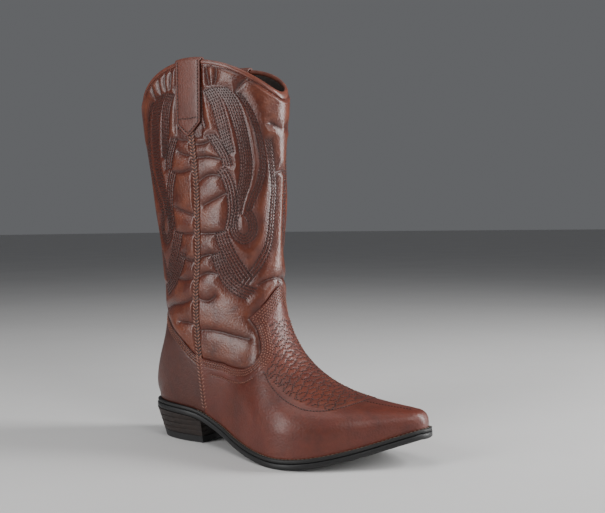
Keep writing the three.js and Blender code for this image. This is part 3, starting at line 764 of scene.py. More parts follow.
# ---- what repeats: stitches and plaits, set out along lines by Geometry Nodes
class Tree:
    """A node tree under construction: each node in one call, with its settings, values and links."""

    def __init__(self, tree):
        self.tree = tree
        self.place = 0

    def node(self, kind, settings=None, **sockets):
        made = self.tree.nodes.new(kind)
        self.place += 180
        made.location = (self.place, 0)
        for label, value in (settings or {}).items():
            setattr(made, label, value)
        for label, value in sockets.items():
            key = int(label[1:]) if label[1:].isdigit() else label.replace("_", " ")
            self.feed(made.inputs[key], value)
        return made

    def feed(self, socket, value):
        if isinstance(value, Wire):
            self.tree.links.new(value.socket, socket)
        elif isinstance(value, bpy.types.NodeSocket):
            self.tree.links.new(value, socket)
        else:
            socket.default_value = value


def stitch_tree():
    """Short threads along lines: each line is cut at an even pitch and a thread laid on each point."""
    group = bpy.data.node_groups.new("threads_along_lines", "GeometryNodeTree")
    face = group.interface
    face.new_socket("Geometry", in_out="INPUT", socket_type="NodeSocketGeometry")
    for label, value in (("Pitch", 0.0026), ("Thread Length", 0.002), ("Thread Width", 0.0008)):
        face.new_socket(label, in_out="INPUT", socket_type="NodeSocketFloat").default_value = value
    face.new_socket("Lean", in_out="INPUT", socket_type="NodeSocketFloat").default_value = 0.0
    face.new_socket("Finish", in_out="INPUT", socket_type="NodeSocketMaterial")
    face.new_socket("Geometry", in_out="OUTPUT", socket_type="NodeSocketGeometry")
    tree = Tree(group)
    start = tree.node("NodeGroupInput")
    line = tree.node("GeometryNodeMeshToCurve", Mesh=start.outputs["Geometry"])
    cut = tree.node("GeometryNodeResampleCurve", {"mode": "LENGTH"}, Curve=line.outputs[0],
                    Length=start.outputs["Pitch"])
    tangent = tree.node("GeometryNodeInputTangent")
    way = tree.node("GeometryNodeInputNamedAttribute", {"data_type": "FLOAT_VECTOR"}, Name="way_out")
    thread = tree.node("GeometryNodeMeshUVSphere", Segments=6, Rings=4, Radius=0.5)
    size = tree.node("ShaderNodeCombineXYZ", X=start.outputs["Thread Width"], Y=start.outputs["Thread Width"],
                     Z=start.outputs["Thread Length"])
    along = tree.node("FunctionNodeAlignRotationToVector", {"axis": "Z"}, Vector=tangent.outputs[0])
    up = tree.node("FunctionNodeAlignRotationToVector", {"axis": "X", "pivot_axis": "Z"},
                   Rotation=along.outputs[0], Vector=way.outputs["Attribute"])
    turn = tree.node("FunctionNodeAxisAngleToRotation", Axis=(1, 0, 0), Angle=start.outputs["Lean"])
    lean = tree.node("FunctionNodeRotateRotation", {"rotation_space": "LOCAL"}, Rotation=up.outputs[0],
                     Rotate_By=turn.outputs[0])
    laid = tree.node("GeometryNodeInstanceOnPoints", Points=cut.outputs[0], Instance=thread.outputs["Mesh"],
                     Rotation=lean.outputs[0], Scale=size.outputs[0])
    real = tree.node("GeometryNodeRealizeInstances", Geometry=laid.outputs[0])
    smooth = tree.node("GeometryNodeSetShadeSmooth", Geometry=real.outputs[0])
    dressed = tree.node("GeometryNodeSetMaterial", Geometry=smooth.outputs[0],
                        Material=start.outputs["Finish"])
    tree.node("NodeGroupOutput", Geometry=dressed.outputs[0])
    return group


def line_object(name, lines, ways):
    """Lines in space as a mesh of edges that also carries the ways out of the surface under them."""
    points = np.concatenate(lines)
    edges = []
    start = 0
    for line in lines:
        edges += [(i, i + 1) for i in range(start, start + len(line) - 1)]
        start += len(line)
    mesh = bpy.data.meshes.new(name)
    mesh.from_pydata(to_frame(points).tolist(), edges, [])
    layer = mesh.attributes.new("way_out", "FLOAT_VECTOR", "POINT")
    layer.data.foreach_set("vector", np.concatenate(ways).ravel().astype(np.float32))
    return add_object(name, mesh)


def threads(name, lines, ways, finish, pitch, length, width, lean=0.0):
    """Stitches or plait strands along lines, as one plain mesh. Sizes in millimetres, lean in degrees."""
    source = line_object(name + "_lines", lines, ways)
    tree = bpy.data.node_groups.get("threads_along_lines") or stitch_tree()
    modifier = source.modifiers.new("threads", "NODES")
    modifier.node_group = tree
    given = {"Pitch": pitch / 1000, "Thread Length": length / 1000, "Thread Width": width / 1000,
             "Lean": math.radians(lean), "Finish": finish}
    for socket in tree.interface.items_tree:
        if socket.in_out == "INPUT" and socket.name in given:
            modifier[socket.identifier] = given[socket.name]
    bpy.context.view_layer.update()
    seen = source.evaluated_get(bpy.context.evaluated_depsgraph_get())
    mesh = bpy.data.meshes.new_from_object(seen)
    mesh.name = name
    bpy.data.objects.remove(source)
    return add_object(name, mesh)


def stitches(name, skin, lines, lift, finish, pitch, length, width):
    """Rows of stitches laid on a skin."""
    laid = [skin.lay(line, lift) for line in lines]
    return threads(name, [line for line, _ in laid], [ways for _, ways in laid], finish, pitch, length, width)


def join(name, pieces):
    """Several mesh objects as one."""
    first = pieces[0]
    with bpy.context.temp_override(active_object=first, selected_editable_objects=pieces,
                                   selected_objects=pieces, object=first):
        bpy.ops.object.join()
    first.name = name
    first.data.name = name
    return first


# ---- finishes
def srgb(*parts):
    """A colour given as it is seen, from 0 to 255, as the shader's linear one."""
    seen = [part / 255 for part in parts]
    return tuple(c / 12.92 if c <= 0.04045 else ((c + 0.055) / 1.055) ** 2.4 for c in seen) + (1.0,)


class Wire:
    """A number that varies over a surface, so that sums on it can be written as sums."""

    def __init__(self, tree, socket):
        self.tree = tree
        self.socket = socket

    def maths(self, operation, *values, clamp=False):
        sockets = {f"_{i}": value for i, value in enumerate(values)}
        made = self.tree.node("ShaderNodeMath", {"operation": operation, "use_clamp": clamp}, **sockets)
        return Wire(self.tree, made.outputs[0])

    def __add__(self, other):
        return self.maths("ADD", self, other)

    __radd__ = __add__

    def __mul__(self, other):
        return self.maths("MULTIPLY", self, other)

    __rmul__ = __mul__

    def __sub__(self, other):
        return self.maths("SUBTRACT", self, other)

    def __rsub__(self, other):
        return self.maths("SUBTRACT", other, self)

    def clamp(self):
        return self.maths("ADD", self, 0.0, clamp=True)


class Finish(Tree):
    """A material under construction."""

    def __init__(self, name):
        self.material = bpy.data.materials.new(name)
        self.material.use_nodes = True
        self.material.node_tree.nodes.clear()
        super().__init__(self.material.node_tree)
        self.shader = self.node("ShaderNodeBsdfPrincipled")
        self.node("ShaderNodeOutputMaterial", Surface=self.shader.outputs[0])
        self.where = self.node("ShaderNodeTexCoord").outputs["Object"]

    def noise(self, size, detail=3.0, roughness=0.55):
        """Soft noise with features about size millimetres across, from 0 to 1."""
        made = self.node("ShaderNodeTexNoise", Vector=self.where, Scale=1000 / size, Detail=detail,
                         Roughness=roughness)
        return Wire(self, made.outputs[0])

    def cells(self, size):
        """Small round cells about size millimetres across, 0 in their middles."""
        made = self.node("ShaderNodeTexVoronoi", Vector=self.where, Scale=1000 / size)
        return Wire(self, made.outputs["Distance"])

    def painted(self, label):
        """A value that the piece's mesh carries."""
        return Wire(self, self.node("ShaderNodeAttribute", {"attribute_name": label}).outputs["Fac"])

    def span(self, value, low, high):
        """A value as 0 at low and 1 at high."""
        made = self.node("ShaderNodeMapRange", Value=value, From_Min=low, From_Max=high)
        return Wire(self, made.outputs[0])

    def blend(self, share, first, second):
        """The first colour where share is 0 and the second where it is 1."""
        made = self.node("ShaderNodeMix", {"data_type": "RGBA"}, _0=share, _6=first, _7=second)
        return Wire(self, made.outputs[2])

    def bump(self, height, depth, strength):
        """Raises the surface by height times depth millimetres."""
        made = self.node("ShaderNodeBump", Height=height, Distance=depth / 1000, Strength=strength)
        self.feed(self.shader.inputs["Normal"], Wire(self, made.outputs[0]))

    def set(self, **values):
        """Sets or links the shader's own sockets."""
        for label, value in values.items():
            self.feed(self.shader.inputs[label.replace("_", " ")], value)


# The dark brown painted into folds, stitch grooves and turned-in edges as shade.
FOLD_SHADE = srgb(34, 13, 9)
GRAIN = 1.9
GRAIN_DEPTH = 0.34


def leather_finish(name, body, deep, worn_and_lit, rough):
    """Waxed brown leather: painted shade in its folds and stitch rows, raised parts paler with rubbed wear
    and painted highlight, finely grained.
    """
    f = Finish(name)
    dent_shade = f.painted("dent_shade")
    height = f.painted("height")
    clouds = f.span(f.noise(38, 4, 0.6), 0.32, 0.68)
    mottle = f.span(f.noise(7, 5, 0.65), 0.3, 0.7)
    colour = f.blend((clouds * 0.55 + mottle * 0.45).clamp(), deep, body)
    # Raised parts turn paler in patches: partly rubbed wear, partly painted highlight on the puffs.
    rubbed_and_lit = (f.span(height, 0.5, 1.9) * 0.55 * f.span(f.noise(16, 5, 0.6), 0.35, 0.7)).clamp()
    colour = f.blend(rubbed_and_lit, colour, worn_and_lit)
    # Painted shade in the folds, stitch grooves and turned-in edges.
    colour = f.blend((dent_shade * 0.5).clamp(), colour, FOLD_SHADE)
    f.set(Base_Color=colour)
    pores = f.cells(GRAIN)
    wrinkle = f.noise(4.0, 6, 0.7)
    f.bump(pores * 0.7 + wrinkle * 0.9 + f.noise(0.7, 3) * 0.3, GRAIN_DEPTH, 0.9)
    f.set(Roughness=(rough + 0.16 * f.noise(11, 4) + 0.20 * dent_shade).clamp(), Coat_Weight=0.2,
          Coat_Roughness=0.25, Specular_IOR_Level=0.5)
    return f.material


def plain_finish(name, first, second, rough, size, bump_size=1.0, depth=0.1, metallic=0.0, coat=0.0):
    """An even finish of two near colours in clouds, with a fine surface."""
    f = Finish(name)
    clouds = f.span(f.noise(size, 5, 0.65), 0.3, 0.7)
    roughness = (rough + 0.18 * f.noise(size / 2, 4) - 0.09).clamp()
    f.set(Base_Color=f.blend(clouds, first, second), Roughness=roughness, Metallic=metallic, Coat_Weight=coat)
    f.bump(f.noise(bump_size, 5, 0.6), depth, 0.8)
    return f.material


def thread_finish(name, first, second, rough=0.55):
    """Waxed sewing thread."""
    return plain_finish(name, first, second, rough, size=3, bump_size=0.3, depth=0.05)


# Thin layers of the stacked heel to a metre.
LAYERS = 900


def stacked_finish(name):
    """Stacked heel leather stained dark: thin level layers, each a little different."""
    f = Finish(name)
    level = Wire(f, f.node("ShaderNodeSeparateXYZ", Vector=f.where).outputs["Z"])
    layer = f.node("ShaderNodeTexNoise", {"noise_dimensions": "1D"}, W=level * LAYERS, Detail=2.0)
    layers = f.span(Wire(f, layer.outputs[0]), 0.35, 0.65)
    colour = f.blend(layers, srgb(22, 14, 11), srgb(38, 26, 21))
    colour = f.blend(f.span(f.noise(6, 5), 0.45, 0.75) * 0.5, colour, srgb(58, 44, 37))
    f.set(Base_Color=colour, Roughness=(0.42 + 0.25 * f.noise(5, 4)).clamp())
    f.bump(layers * 0.6 + f.noise(0.8, 4) * 0.5, 0.12, 0.8)
    return f.material


vamp_leather = leather_finish(
    "vamp_leather", srgb(96, 34, 17), srgb(62, 20, 10), srgb(126, 64, 38), rough=0.40)
shaft_leather = leather_finish(
    "shaft_leather", srgb(86, 32, 16), srgb(54, 18, 9), srgb(128, 71, 47), rough=0.27)
counter_leather = leather_finish(
    "counter_leather", srgb(74, 26, 12), srgb(46, 14, 7), srgb(110, 54, 32), rough=0.44)
strap_leather = leather_finish(
    "strap_leather", srgb(100, 46, 30), srgb(74, 31, 20), srgb(138, 82, 62), rough=0.42)
stacked_leather = stacked_finish("stacked_leather")
plait_leather = plain_finish(
    "plait_leather", srgb(142, 96, 79), srgb(108, 66, 53), 0.4, size=4, coat=0.1)
# A dark core under the plait's strands; its colour is painted shade in the gaps between them.
plait_shade_core = plain_finish("plait_shade_core", srgb(58, 26, 18), srgb(42, 18, 13), 0.55, size=4)
edge_leather = plain_finish("edge_leather", srgb(112, 58, 42), srgb(84, 40, 28), 0.4, size=8, coat=0.15)
lining_leather = plain_finish(
    "lining_leather", srgb(40, 28, 21), srgb(27, 19, 15), 0.8, size=12, depth=0.12)
sole_leather = plain_finish(
    "sole_leather", srgb(17, 17, 18), srgb(10, 10, 11), 0.5, size=14, bump_size=0.9, depth=0.08)
welt_leather = plain_finish(
    "welt_leather", srgb(18, 17, 17), srgb(11, 11, 11), 0.55, size=8, bump_size=0.8, depth=0.08)
cap_rubber = plain_finish(
    "cap_rubber", srgb(26, 26, 27), srgb(18, 18, 19), 0.6, size=6, bump_size=0.5, depth=0.06)
thread_brown = thread_finish("thread_brown", srgb(50, 22, 15), srgb(36, 15, 11))
thread_dark = thread_finish("thread_dark", srgb(42, 19, 14), srgb(30, 13, 10))
thread_tan = thread_finish("thread_tan", srgb(132, 84, 66), srgb(104, 62, 48))
welt_thread = thread_finish("welt_thread", srgb(96, 82, 68), srgb(74, 62, 52), rough=0.65)
board = plain_finish("fibre_board", srgb(150, 128, 98), srgb(122, 100, 74), 0.85, size=5)
cork = plain_finish("cork", srgb(140, 106, 70), srgb(96, 68, 44), 0.9, size=2.5, depth=0.3)
steel = plain_finish(
    "spring_steel", srgb(150, 152, 156), srgb(120, 122, 126), 0.35, size=10, metallic=1.0)
brass = plain_finish("nail_brass", srgb(190, 150, 84), srgb(150, 112, 60), 0.35, size=2, metallic=1.0)


def dress(made, material):
    """Gives a piece one material."""
    made.data.materials.clear()
    made.data.materials.append(material)
    return made


def settle(made, slot, *nodes):
    """The piece rides on the boot and stands for CAD nodes, which are hidden; slot is not used."""
    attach(made, "root")
    if nodes:
        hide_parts(*nodes)
    return made


# ---- the foot
# Rows of stitches inside the vamp's upper edge: how far in, and how much of the edge the row follows.
EDGE_ROWS = ((1.5, "whole"), (3.7, "whole"), (5.9, "whole"), (8.1, "tongue"), (10.3, "tongue"),
             (12.6, "side"))
WAVES = 25


def vamp_edge_rows(edge, ways):
    """Rows of stitches along the vamp's upper edge, in halves that start at the side seams."""
    rows = []
    middle = len(edge) // 2
    for distance, stretch in EDGE_ROWS:
        line = beside(edge, ways, -distance)
        for half, base in ((line[:middle], edge[:middle]), (line[middle:][::-1], edge[middle:][::-1])):
            kept = (half[:, 0] > seam_place(half[:, 2]) + 3.4) & (base[:, 2] > 76) & (base[:, 0] > 75)
            if stretch == "tongue":
                kept &= (half[:, 2] > 84 + distance) | (half[:, 0] > 150)
            elif stretch == "side":
                kept &= (half[:, 0] < 143) & (half[:, 2] < 88)
            kept &= nearest(half, edge)[0] > distance - 0.3
            rows.append(half[kept])
    return [row for row in rows if len(row) > 8]


def wave_rows():
    """Wavering rows of stitches over the instep, each from its outer side to its inner side."""
    rows = []
    for number in range(WAVES):
        share = number / (WAVES - 1)
        row = []
        for turn in np.linspace(-1, 1, 81):
            drop = abs(turn)
            waver = 0.05 * math.sin(drop * 19 + number * 2.1) + 0.04 * math.sin(drop * 41 + number * 0.9)
            station = 10.1 - 4.9 * share + (0.55 - 0.2 * share) * drop ** 1.3 + waver
            side = OUTER if turn < 0 else INNER
            row.append(form(min(station, 10.5), 1 - drop * (0.40 - 0.04 * share), side))
        rows.append(np.array(row, float))
    return rows


def wave_border(side):
    """The row that closes the field of wavering rows on a side and meets the other over the toes."""
    drawn = curve_through([
        (0, 9.3, 0.60), (1, 7.9, 0.57), (2, 6.9, 0.56), (3, 6.2, 0.56), (4, 5.5, 0.63), (5, 5.05, 0.80),
        (6, 4.95, 1.0)])(np.linspace(0, 6, 90))
    return form(drawn[:, 0], drawn[:, 1], side)


def make_vamp():
    """The vamp with its tongue: stitched along its upper edge and over the instep."""
    panel = Leather(vamp_grid(160, 286))
    edge = panel.flat[:, 0]
    ways = []
    for side in (OUTER, INNER):
        border = vamp_border(side, 160)
        ways.append(form_ways(border[:, 0], border[:, 1], side))
    ways = np.concatenate([ways[0], ways[1][::-1][1:]])
    edge_rows = vamp_edge_rows(edge, ways)
    waves = wave_rows()
    field_rows = []
    for line in waves + [wave_border(OUTER), wave_border(INNER)]:
        inside = signed_gap(line, edge, ways) < -3.0
        field_rows += stretches(line, inside & (nearest_gap(line, edge_rows) > 2.8))
    toe_row = form(np.linspace(4.9, 2.6, 50), np.full(50, 0.97), OUTER)
    field = Leather(panel.flat)
    field.sew(field_rows, 0.3)
    panel.sew(edge_rows, 0.35)
    inside = ease(nearest_gap(panel.flat, waves), 6.0, 2.5)
    panel.height += field.height * inside * 0.8
    # The field's stitch rows add their painted shade too.
    panel.dent_shade = np.maximum(panel.dent_shade, field.dent_shade * 0.8)
    made, skin = panel.finish("vamp_leather_panel")
    dress(made, vamp_leather)
    settle(made, "vamp_leather", "vamp")
    return panel, skin, edge_rows, field_rows + [toe_row]


def make_counter():
    """The heel counter, with three rows of stitches under its upper edge."""
    panel = Leather(counter_grid(110, 130))
    rows = []
    for distance in (1.5, 3.7, 5.9):
        line = beside(panel.flat[-1], panel.out[-1], distance)
        rows.append(line[line[:, 0] < seam_place(line[:, 2]) - 3.6])
    panel.sew(rows, 0.35)
    made, skin = panel.finish("heel_counter_panel")
    dress(made, counter_leather)
    settle(made, "vamp_leather", "heel_counter")
    return panel, skin, rows


# ---- the shaft
def free_of_pieces(panel, edge, reach):
    """How free the shaft's leather is to puff, from 0 under or beside another piece to 1 away from them."""
    points = panel.flat
    _, under = nearest(edge, points.reshape(-1, 3))
    above = signed_gap(points, edge, panel.out.reshape(-1, 3)[under])
    free = ease(above, 0.2, 4.5)
    free[3:-3, 3:-3] = relax(free, 25)[3:-3, 3:-3] * ease(above, 0.0, 2.4)[3:-3, 3:-3]
    beside_seam = ease(np.abs(reach), 2.2, 5.5)
    below_rim = ease(rim_height(points[..., 0]) - points[..., 2], 4.0, 9.0)
    beside_strap = np.abs(points[..., 0] - STRAP_PLACE) - STRAP_WIDTH / 2
    from_strap = ease(np.maximum(beside_strap, STRAP_POINT - points[..., 2]), 0.3, 4.0)
    return free * beside_seam * below_rim * from_strap, above


def make_shaft(front, edge):
    """The front or back shaft panel, which tucks under the edge of the foot's leather."""
    columns, rows = (126, 366) if front else (112, 346)
    panel = Leather(shaft_grid(front, columns, rows, 72.0 if front else 80.0))
    reach = around(panel.flat, front)
    lines = []
    folds = []
    for quarter in quarters(panel.flat, reach):
        for count, left, right in BANDS:
            lines += [quarter.line(row) for row in on_panel(band_rows(count, left, right, not front))]
        for fold in (FRONT_FOLDS if front else BACK_FOLDS):
            folds.append(quarter.line(smooth_line(fold, 60)))
    panel.sew(lines + folds, 2.0)
    panel.crease(folds, depth=0.7, width=1.0, shoulder=3.4)
    free, above = free_of_pieces(panel, edge, reach)
    panel.height = panel.height * free - 0.5 * (1 - ease(above, -3.0, 0.0))
    # No painted shade where the shaft lies under the foot's leather.
    panel.dent_shade *= ease(above, 0.0, 2.0)
    word = "front" if front else "back"
    made, skin = panel.finish(f"shaft_{word}_leather")
    dress(made, shaft_leather)
    settle(made, "shaft_leather", f"shaft_{word}_panel")
    sewn = stitches(f"shaft_{word}_leather_stitches", skin, lines, 0.12, thread_brown, 3.0, 1.8, 1.25)
    settle(sewn, "shaft_leather")


# ---- cords, braids, straps and the rim
PLAIT_PROUD = 1.1


def ribbon(side, low, high, width, inset):
    """A low rounded ribbon up the side seam: its points, and the ways out of the leather under them."""
    z = np.linspace(low, high, int((high - low) / 1.5))[:, None]
    across = np.linspace(-1, 1, 9)[None]
    x = seam_place(z) + across * width / 2
    station, share = at_place(x, z + 0 * across, side, inset)
    points = form(station, share, side, inset)
    ways = form_ways(station, share, side, inset)
    arch = np.sqrt(np.maximum(1 - across ** 2, 0))
    raised = points + ways * (PLAIT_PROUD * arch - 0.3)[..., None]
    return raised, ways


def make_plait(name, side, low, high, width, inset, node):
    """A plait sewn over the side seam: two rows of leaning strands on a dark core, painted shade in their
    gaps.
    """
    raised, ways = ribbon(side, low, high, width, inset)
    _, flip = ways_out(raised, middle=(75, 0, (low + high) / 2))
    core = grid_mesh(name + "_core", raised, flip=flip)
    dress(shade_smooth(core), plait_shade_core)
    pieces = [core]
    for number, (column, lean) in enumerate(((2, 50), (6, -50))):
        line = raised[:, column] + ways[:, column] * 0.1
        pieces.append(threads(f"{name}_strand_{number}", [line], [ways[:, column]], plait_leather,
                              pitch=3.2, length=width * 0.62, width=1.6, lean=lean))
    settle(join(name, pieces), "edge_leather", node)


def make_strap(side):
    """A pull strap: its pointed outer end, the fold over the rim and the end sewn inside."""
    lines = []
    for u in np.linspace(-1, 1, 25):
        x = STRAP_PLACE + u * STRAP_WIDTH / 2
        drop = rim_height(np.array(RIM_MIDDLE)) - rim_height(np.array(x))
        turn = STRAP_TOP - STRAP_FOLD - drop
        tip = STRAP_POINT + 0.4 + 13.0 * abs(u) ** 1.15
        place = at_place(np.full(70, x), np.linspace(tip, turn, 70), side, STRAP_FACE)
        outside = form(*place, side, STRAP_FACE)
        inset = STRAP_FACE + STRAP_FOLD
        place = at_place(x, turn, side, inset)
        bend = np.linspace(0, np.pi, 16)[1:-1, None]
        turned = form_ways(*place, side, inset) * np.cos(bend) + np.array([0, 0, 1.0]) * np.sin(bend)
        over = form(*place, side, inset) + turned * STRAP_FOLD
        inset += STRAP_FOLD
        place = at_place(np.full(34, x), np.linspace(turn, turn - STRAP_INSIDE, 34), side, inset)
        lines.append(np.concatenate([outside, over, form(*place, side, inset)]))
    panel = Leather(np.stack(lines, axis=1))
    grid = panel.flat
    box_row = [grid[np.argmin(np.abs(grid[:70, i, 2] - STRAP_BOX)), i] for i in range(2, 23)]
    rows = [grid[4:70, 2], grid[4:70, -3], grid[3, 2:23], np.array(box_row)]
    panel.sew(rows, 0.25)
    panel.height *= 0.8
    word = "outer" if side == OUTER else "inner"
    name = f"pull_strap_{word}_leather"
    made, skin = panel.finish(name, turn_in=STRAP_THICKNESS)
    dress(made, strap_leather)
    settle(made, "strap_leather", f"pull_strap_{word}")
    rows = [smooth_line(row, 80) for row in rows]
    settle(stitches(name + "_stitches", skin, rows, 0.12, thread_dark, 3.0, 1.7, 1.2), "strap_leather")


def rim_ring(inset, below):
    """Points round the shaft below the rim, from the back over the outer side, front and inner side."""
    ring = []
    stations = np.linspace(18, TOP_STATION, 240)
    for side, shares in ((OUTER, np.linspace(0, 1, 200)), (INNER, np.linspace(1, 0, 200)[1:-1])):
        for share in shares:
            line = form(stations, share, side, inset)
            over = line[:, 2] - rim_height(line[:, 0]) + below
            k = max(int(np.argmax(over > 0)), 1)
            back = over[k] / (over[k] - over[k - 1])
            ring.append(line[k] * (1 - back) + line[k - 1] * back)
    return np.array(ring)


def make_binding():
    """The rolled binding over the rim, as depth into the leather and below the rim, and its two sewn rows."""
    profile = [(0.75, 4.3), (0.25, 3.9), (0.1, 2.6), (0.3, 1.3), (0.9, 0.45), (1.9, 0.05), (3.0, 0.05),
               (3.8, 0.5), (4.25, 1.5), (4.3, 3.0), (3.9, 4.2), (2.8, 4.5)]
    rings = [rim_ring(inset, below) for inset, below in profile]
    made = grid_mesh("rim_binding", np.array(rings + rings[:1]), ring=True)
    merge_doubles(made)
    dress(shade_smooth(made), edge_leather)
    settle(made, "edge_leather", "top_binding")
    rows = [rim_ring(0.72, 5.6), rim_ring(0.72, 8.0)]
    ways = rows[0] - np.array([RIM_MIDDLE, 0, 0])
    ways[:, 2] = 0
    ways /= np.linalg.norm(ways, axis=1)[:, None]
    sewn = threads("rim_stitches", rows, [ways, ways], thread_tan, pitch=2.8, length=1.7, width=0.9)
    settle(sewn, "edge_leather")


# ---- the lining
def make_lining():
    """The inside of the boot from the toe to the rim, as one soft skin with a little thickness."""
    stations = np.r_[np.linspace(0.4, 14, 70), np.linspace(14.1, 22.9, 90)]
    shares = np.linspace(0, 1, 46)
    halves = [form(stations[:, None], shares[None], side, LINING_BACK) for side in (OUTER, INNER)]
    points = np.concatenate([halves[0], halves[1][:, ::-1][:, 1:]], axis=1)
    top = rim_height(points[..., 0]) - 2.5
    for column in range(points.shape[1]):
        line = points[:, column]
        over = line[:, 2] > top[:, column]
        if over.any():
            first = max(int(np.argmax(over)), 1)
            last = line[first - 1]
            share = (top[first, column] - last[2]) / (line[first, 2] - last[2])
            points[first:, column] = last + (line[first] - last) * np.clip(share, 0, 1)
    _, flip = ways_out(points, middle=(70, 0, 200))
    made = grid_mesh("lining_skin", points, flip=not flip)
    merge_doubles(made)
    shade_smooth(made)
    wall = made.modifiers.new("wall", "SOLIDIFY")
    wall.thickness = 0.0007
    wall.offset = -1
    dress(made, lining_leather)
    settle(made, "lining_leather", "shaft_lining_front", "shaft_lining_back", "vamp_lining", "heel_lining")


# ---- the sole
def sole_ring(margin, rise, count=360):
    """A closed line round the sole's outline, grown by margin, at a rise over the feather line."""
    turn = np.linspace(0, 2 * np.pi, count, endpoint=False)
    place = (1 - np.cos(turn)) / 2 * (FOOT_LENGTH + 2 * margin) - margin
    side = np.where(turn < np.pi, OUTER, INNER)
    x = np.clip(place, -margin + 1e-6, FOOT_LENGTH + margin - 1e-6)
    on_foot = np.clip(x, 0, FOOT_LENGTH)
    y = side * half_width(x, side, margin) + centre_line(on_foot)
    return np.column_stack([x, y, np.maximum(feather_height(on_foot) + rise, 0)])


def spine_ring(ring):
    """A ring drawn in to the sole's centre line, to close its face."""
    line = ring.copy()
    line[:, 1] = centre_line(np.clip(line[:, 0], 0, FOOT_LENGTH))
    return line


def sole_piece(name, top, bottom, margin, soft, filled):
    """A layer of the sole with softened edges, either filled or a band as wide as the welt."""
    rings = [(margin - soft * 1.4, top), (margin - soft * 0.4, top - soft * 0.3), (margin, top - soft),
             (margin, bottom + soft), (margin - soft * 0.4, bottom + soft * 0.3),
             (margin - soft * 1.4, bottom)]
    lines = [sole_ring(reach, rise) for reach, rise in rings]
    if filled:
        lines = [spine_ring(lines[0])] + lines + [spine_ring(lines[-1])]
    else:
        inner = sole_ring(-WELT_REACH, top)
        lines = [inner] + lines + [sole_ring(-WELT_REACH, bottom), inner]
    made = grid_mesh(name, np.array(lines), ring=True, flip=True)
    merge_doubles(made)
    return shade_smooth(made, 50)


def make_sole():
    """The outsole, and the welt that runs on round the heel as its rand, with the welt's stitches."""
    outsole = sole_piece("outsole_leather", -WELT - 2 * AIR, -SOLE_STACK, WELT_MARGIN, 0.8, filled=True)
    dress(outsole, sole_leather)
    settle(outsole, "sole_leather", "outsole")
    welt = sole_piece("welt_and_rand", -0.1, -WELT - 0.4, WELT_MARGIN - 0.3, 0.7, filled=False)
    dress(welt, welt_leather)
    settle(welt, "sole_leather", "welt", "heel_rand")
    line = sole_ring(1.7, 0.05, 720)
    line = line[line[:, 0] > HEEL_BREAST - 4]
    half = int(np.argmax(np.diff(line[:, 0]) < 0)) + 1
    ways = np.tile([0.0, 0.0, 1.0], (len(line), 1))
    sewn = threads("welt_stitches", [line[:half], line[half:]], [ways[:half], ways[half:]], welt_thread,
                   pitch=3.6, length=2.9, width=1.0)
    settle(sewn, "sole_leather")


def heel_outline(z):
    """The heel's D-shaped outline at a height, from the breast's outer corner round the back."""
    scale = HEEL_TAPER + (1 - HEEL_TAPER) * z / HEEL_RISE
    x = HEEL_BREAST - (HEEL_BREAST + WELT_MARGIN) * np.sin(np.linspace(0, 1, 64) * np.pi / 2)
    outer = np.column_stack([x, centre_line(x) - half_width(x, OUTER, WELT_MARGIN)])
    inner = np.column_stack([x, centre_line(x) + half_width(x, INNER, WELT_MARGIN)])
    ring = np.concatenate([outer, inner[::-1][1:]])
    breast = np.column_stack([np.full(12, HEEL_BREAST), np.linspace(ring[-1, 1], ring[0, 1], 14)[1:-1]])
    return (np.concatenate([ring, breast]) - [HEEL_BREAST, 0]) * scale + [HEEL_BREAST, 0]


def heel_layer(name, low, high, node, under_sole=False):
    """One layer of the heel with softened edges; the top one follows the sole's underside."""
    soft = 0.35
    rings = []
    for upper, pull, sink in ((False, 3.0, 0), (False, soft, 0), (False, 0, soft),
                              (True, 0, soft), (True, soft, 0), (True, 3.0, 0)):
        ring = heel_outline(low if not upper else HEEL_RISE if under_sole else high)
        away = ring - ring.mean(0)
        ring = ring - away / (np.linalg.norm(away, axis=1)[:, None] + 1e-9) * pull
        if not upper:
            z = np.full(len(ring), low + sink)
        elif under_sole:
            underside = feather_height(np.clip(ring[:, 0], 0, None)) - SOLE_STACK - AIR
            z = np.maximum(underside - sink, low + 1.0)
        else:
            z = np.full(len(ring), high - sink)
        rings.append(np.column_stack([ring, z]))
    ends = [np.tile(ring.mean(0), (len(ring), 1)) for ring in (rings[0], rings[-1])]
    points = np.array(ends[:1] + rings + ends[1:])
    _, flip = ways_out(points[2:-2])
    made = grid_mesh(name, points, ring=True, flip=flip)
    merge_doubles(made)
    dress(shade_smooth(made, 40), stacked_leather)
    settle(made, "stacked_leather", node)


def make_heel():
    """Three lifts and the wedge between them and the sole."""
    for number, word in enumerate(("low", "middle", "high")):
        low = HEEL_CAP_TOP + LIFT_STEP * number
        heel_layer(f"heel_lift_{word}", low, low + LIFT_HEIGHT, f"heel_lift_{number + 1}")
    heel_layer("heel_wedge_leather", HEEL_CAP_TOP + LIFT_STEP * 3, HEEL_RISE, "heel_wedge", under_sole=True)


def finish_node(node, material):
    """Gives a CAD node that stays as it is a finish of its own."""
    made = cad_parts[node]
    for slot in made.material_slots:
        slot.material = material
    if not made.material_slots:
        made.data.materials.append(material)


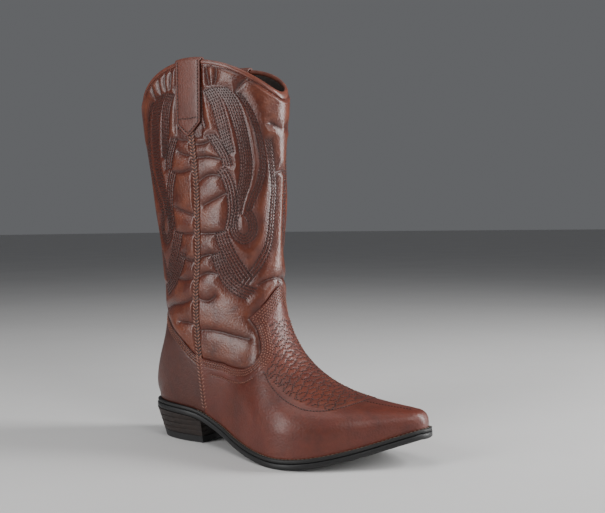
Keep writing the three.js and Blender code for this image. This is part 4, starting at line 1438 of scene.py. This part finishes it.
# ---- everything together
vamp_panel, vamp_skin, vamp_rows, toe_rows = make_vamp()
counter_panel, counter_skin, counter_rows = make_counter()
for name, skin, rows, thread, width in (
        ("vamp_edge_stitches", vamp_skin, vamp_rows, thread_tan, 1.3),
        ("toe_stitches", vamp_skin, toe_rows, thread_dark, 0.8),
        ("counter_stitches", counter_skin, counter_rows, thread_tan, 1.3)):
    rows = [spread(row, max(len(row), 40)) for row in rows]
    settle(stitches(name, skin, rows, 0.2, thread, 2.7, 1.9, width), "vamp_leather")
make_shaft(True, vamp_panel.flat[:, 0])
make_shaft(False, counter_panel.flat[-1][::-1])
for side, word in ((OUTER, "outer"), (INNER, "inner")):
    make_plait(f"side_seam_plait_{word}", side, 81.5, 357.0, 7.6, SHAFT_FACE, f"side_seam_cord_{word}")
    make_plait(f"lower_seam_plait_{word}", side, 36.0, 83.0, 7.2, 0.3, f"lower_seam_braid_{word}")
    make_strap(side)
make_binding()
make_lining()
make_sole()
make_heel()
for node, material in (
        ("heel_cap", cap_rubber), ("insole_board", board), ("sock_liner", lining_leather), ("filler", cork),
        ("shank", steel), ("toe_puff", board), ("counter_stiffener", board)):
    finish_node(node, material)
for number in range(1, 6):
    finish_node(f"heel_nail_{number}", brass)

# ---- floor, light and camera
floor_mesh = bpy.data.meshes.new("floor")
floor_mesh.from_pydata([(-40, -40, 0), (40, -40, 0), (40, 40, 0), (-40, 40, 0)], [], [(0, 1, 2, 3)])
floor = add_object("floor", floor_mesh)
pale_floor = plain_finish("pale_floor", srgb(206, 205, 204), srgb(200, 199, 198), 0.7, size=400, depth=0.01)
dress(floor, pale_floor)

world = bpy.data.worlds.new("studio")
world.use_nodes = True
background = world.node_tree.nodes["Background"]
background.inputs["Color"].default_value = (0.80, 0.82, 0.86, 1)
background.inputs["Strength"].default_value = 0.16
bpy.context.scene.world = world


def soft_light(name, place, width, height, power):
    """A soft rectangular light that faces the boot's middle, in metres and watts."""
    data = bpy.data.lights.new(name, "AREA")
    data.shape = "RECTANGLE"
    data.size = width
    data.size_y = height
    data.energy = power
    light = add_object(name, data)
    light.location = place
    light.rotation_euler = (Vector(boot_middle) - Vector(place)).to_track_quat("-Z", "Y").to_euler()


boot_middle = (cad_box[0][0] + cad_box[1][0]) / 2, (cad_box[0][1] + cad_box[1][1]) / 2, BOOT_HEIGHT / 2000
soft_light("wide_left", (-0.5, -1.3, 0.62), 0.55, 1.3, 18)
soft_light("rim_right", (1.1, 0.77, 0.55), 0.4, 1.5, 38)
soft_light("front_right", (1.3, -0.5, 0.9), 0.5, 0.9, 8)
soft_light("above", (-0.2, -0.2, 1.7), 1.0, 1.0, 8)

AZIMUTH = math.radians(35.5)
ELEVATION = math.radians(1.85)
ROLL = math.radians(-0.6)
DISTANCE = 801.0
AIM = np.array([168.5, 0.0, 178.0])
away = np.array([math.sin(AZIMUTH) * math.cos(ELEVATION), -math.cos(AZIMUTH) * math.cos(ELEVATION),
                 math.sin(ELEVATION)])
camera_data = bpy.data.cameras.new("camera")
camera_data.lens = 52.5
camera_data.sensor_width = 36
camera = add_object("camera", camera_data)
camera.location = to_frame(AIM + away * DISTANCE)
camera.rotation_euler = Vector(-away).to_track_quat("-Z", "Y").to_euler()
camera.rotation_euler.rotate_axis("Z", ROLL)
bpy.context.scene.camera = camera
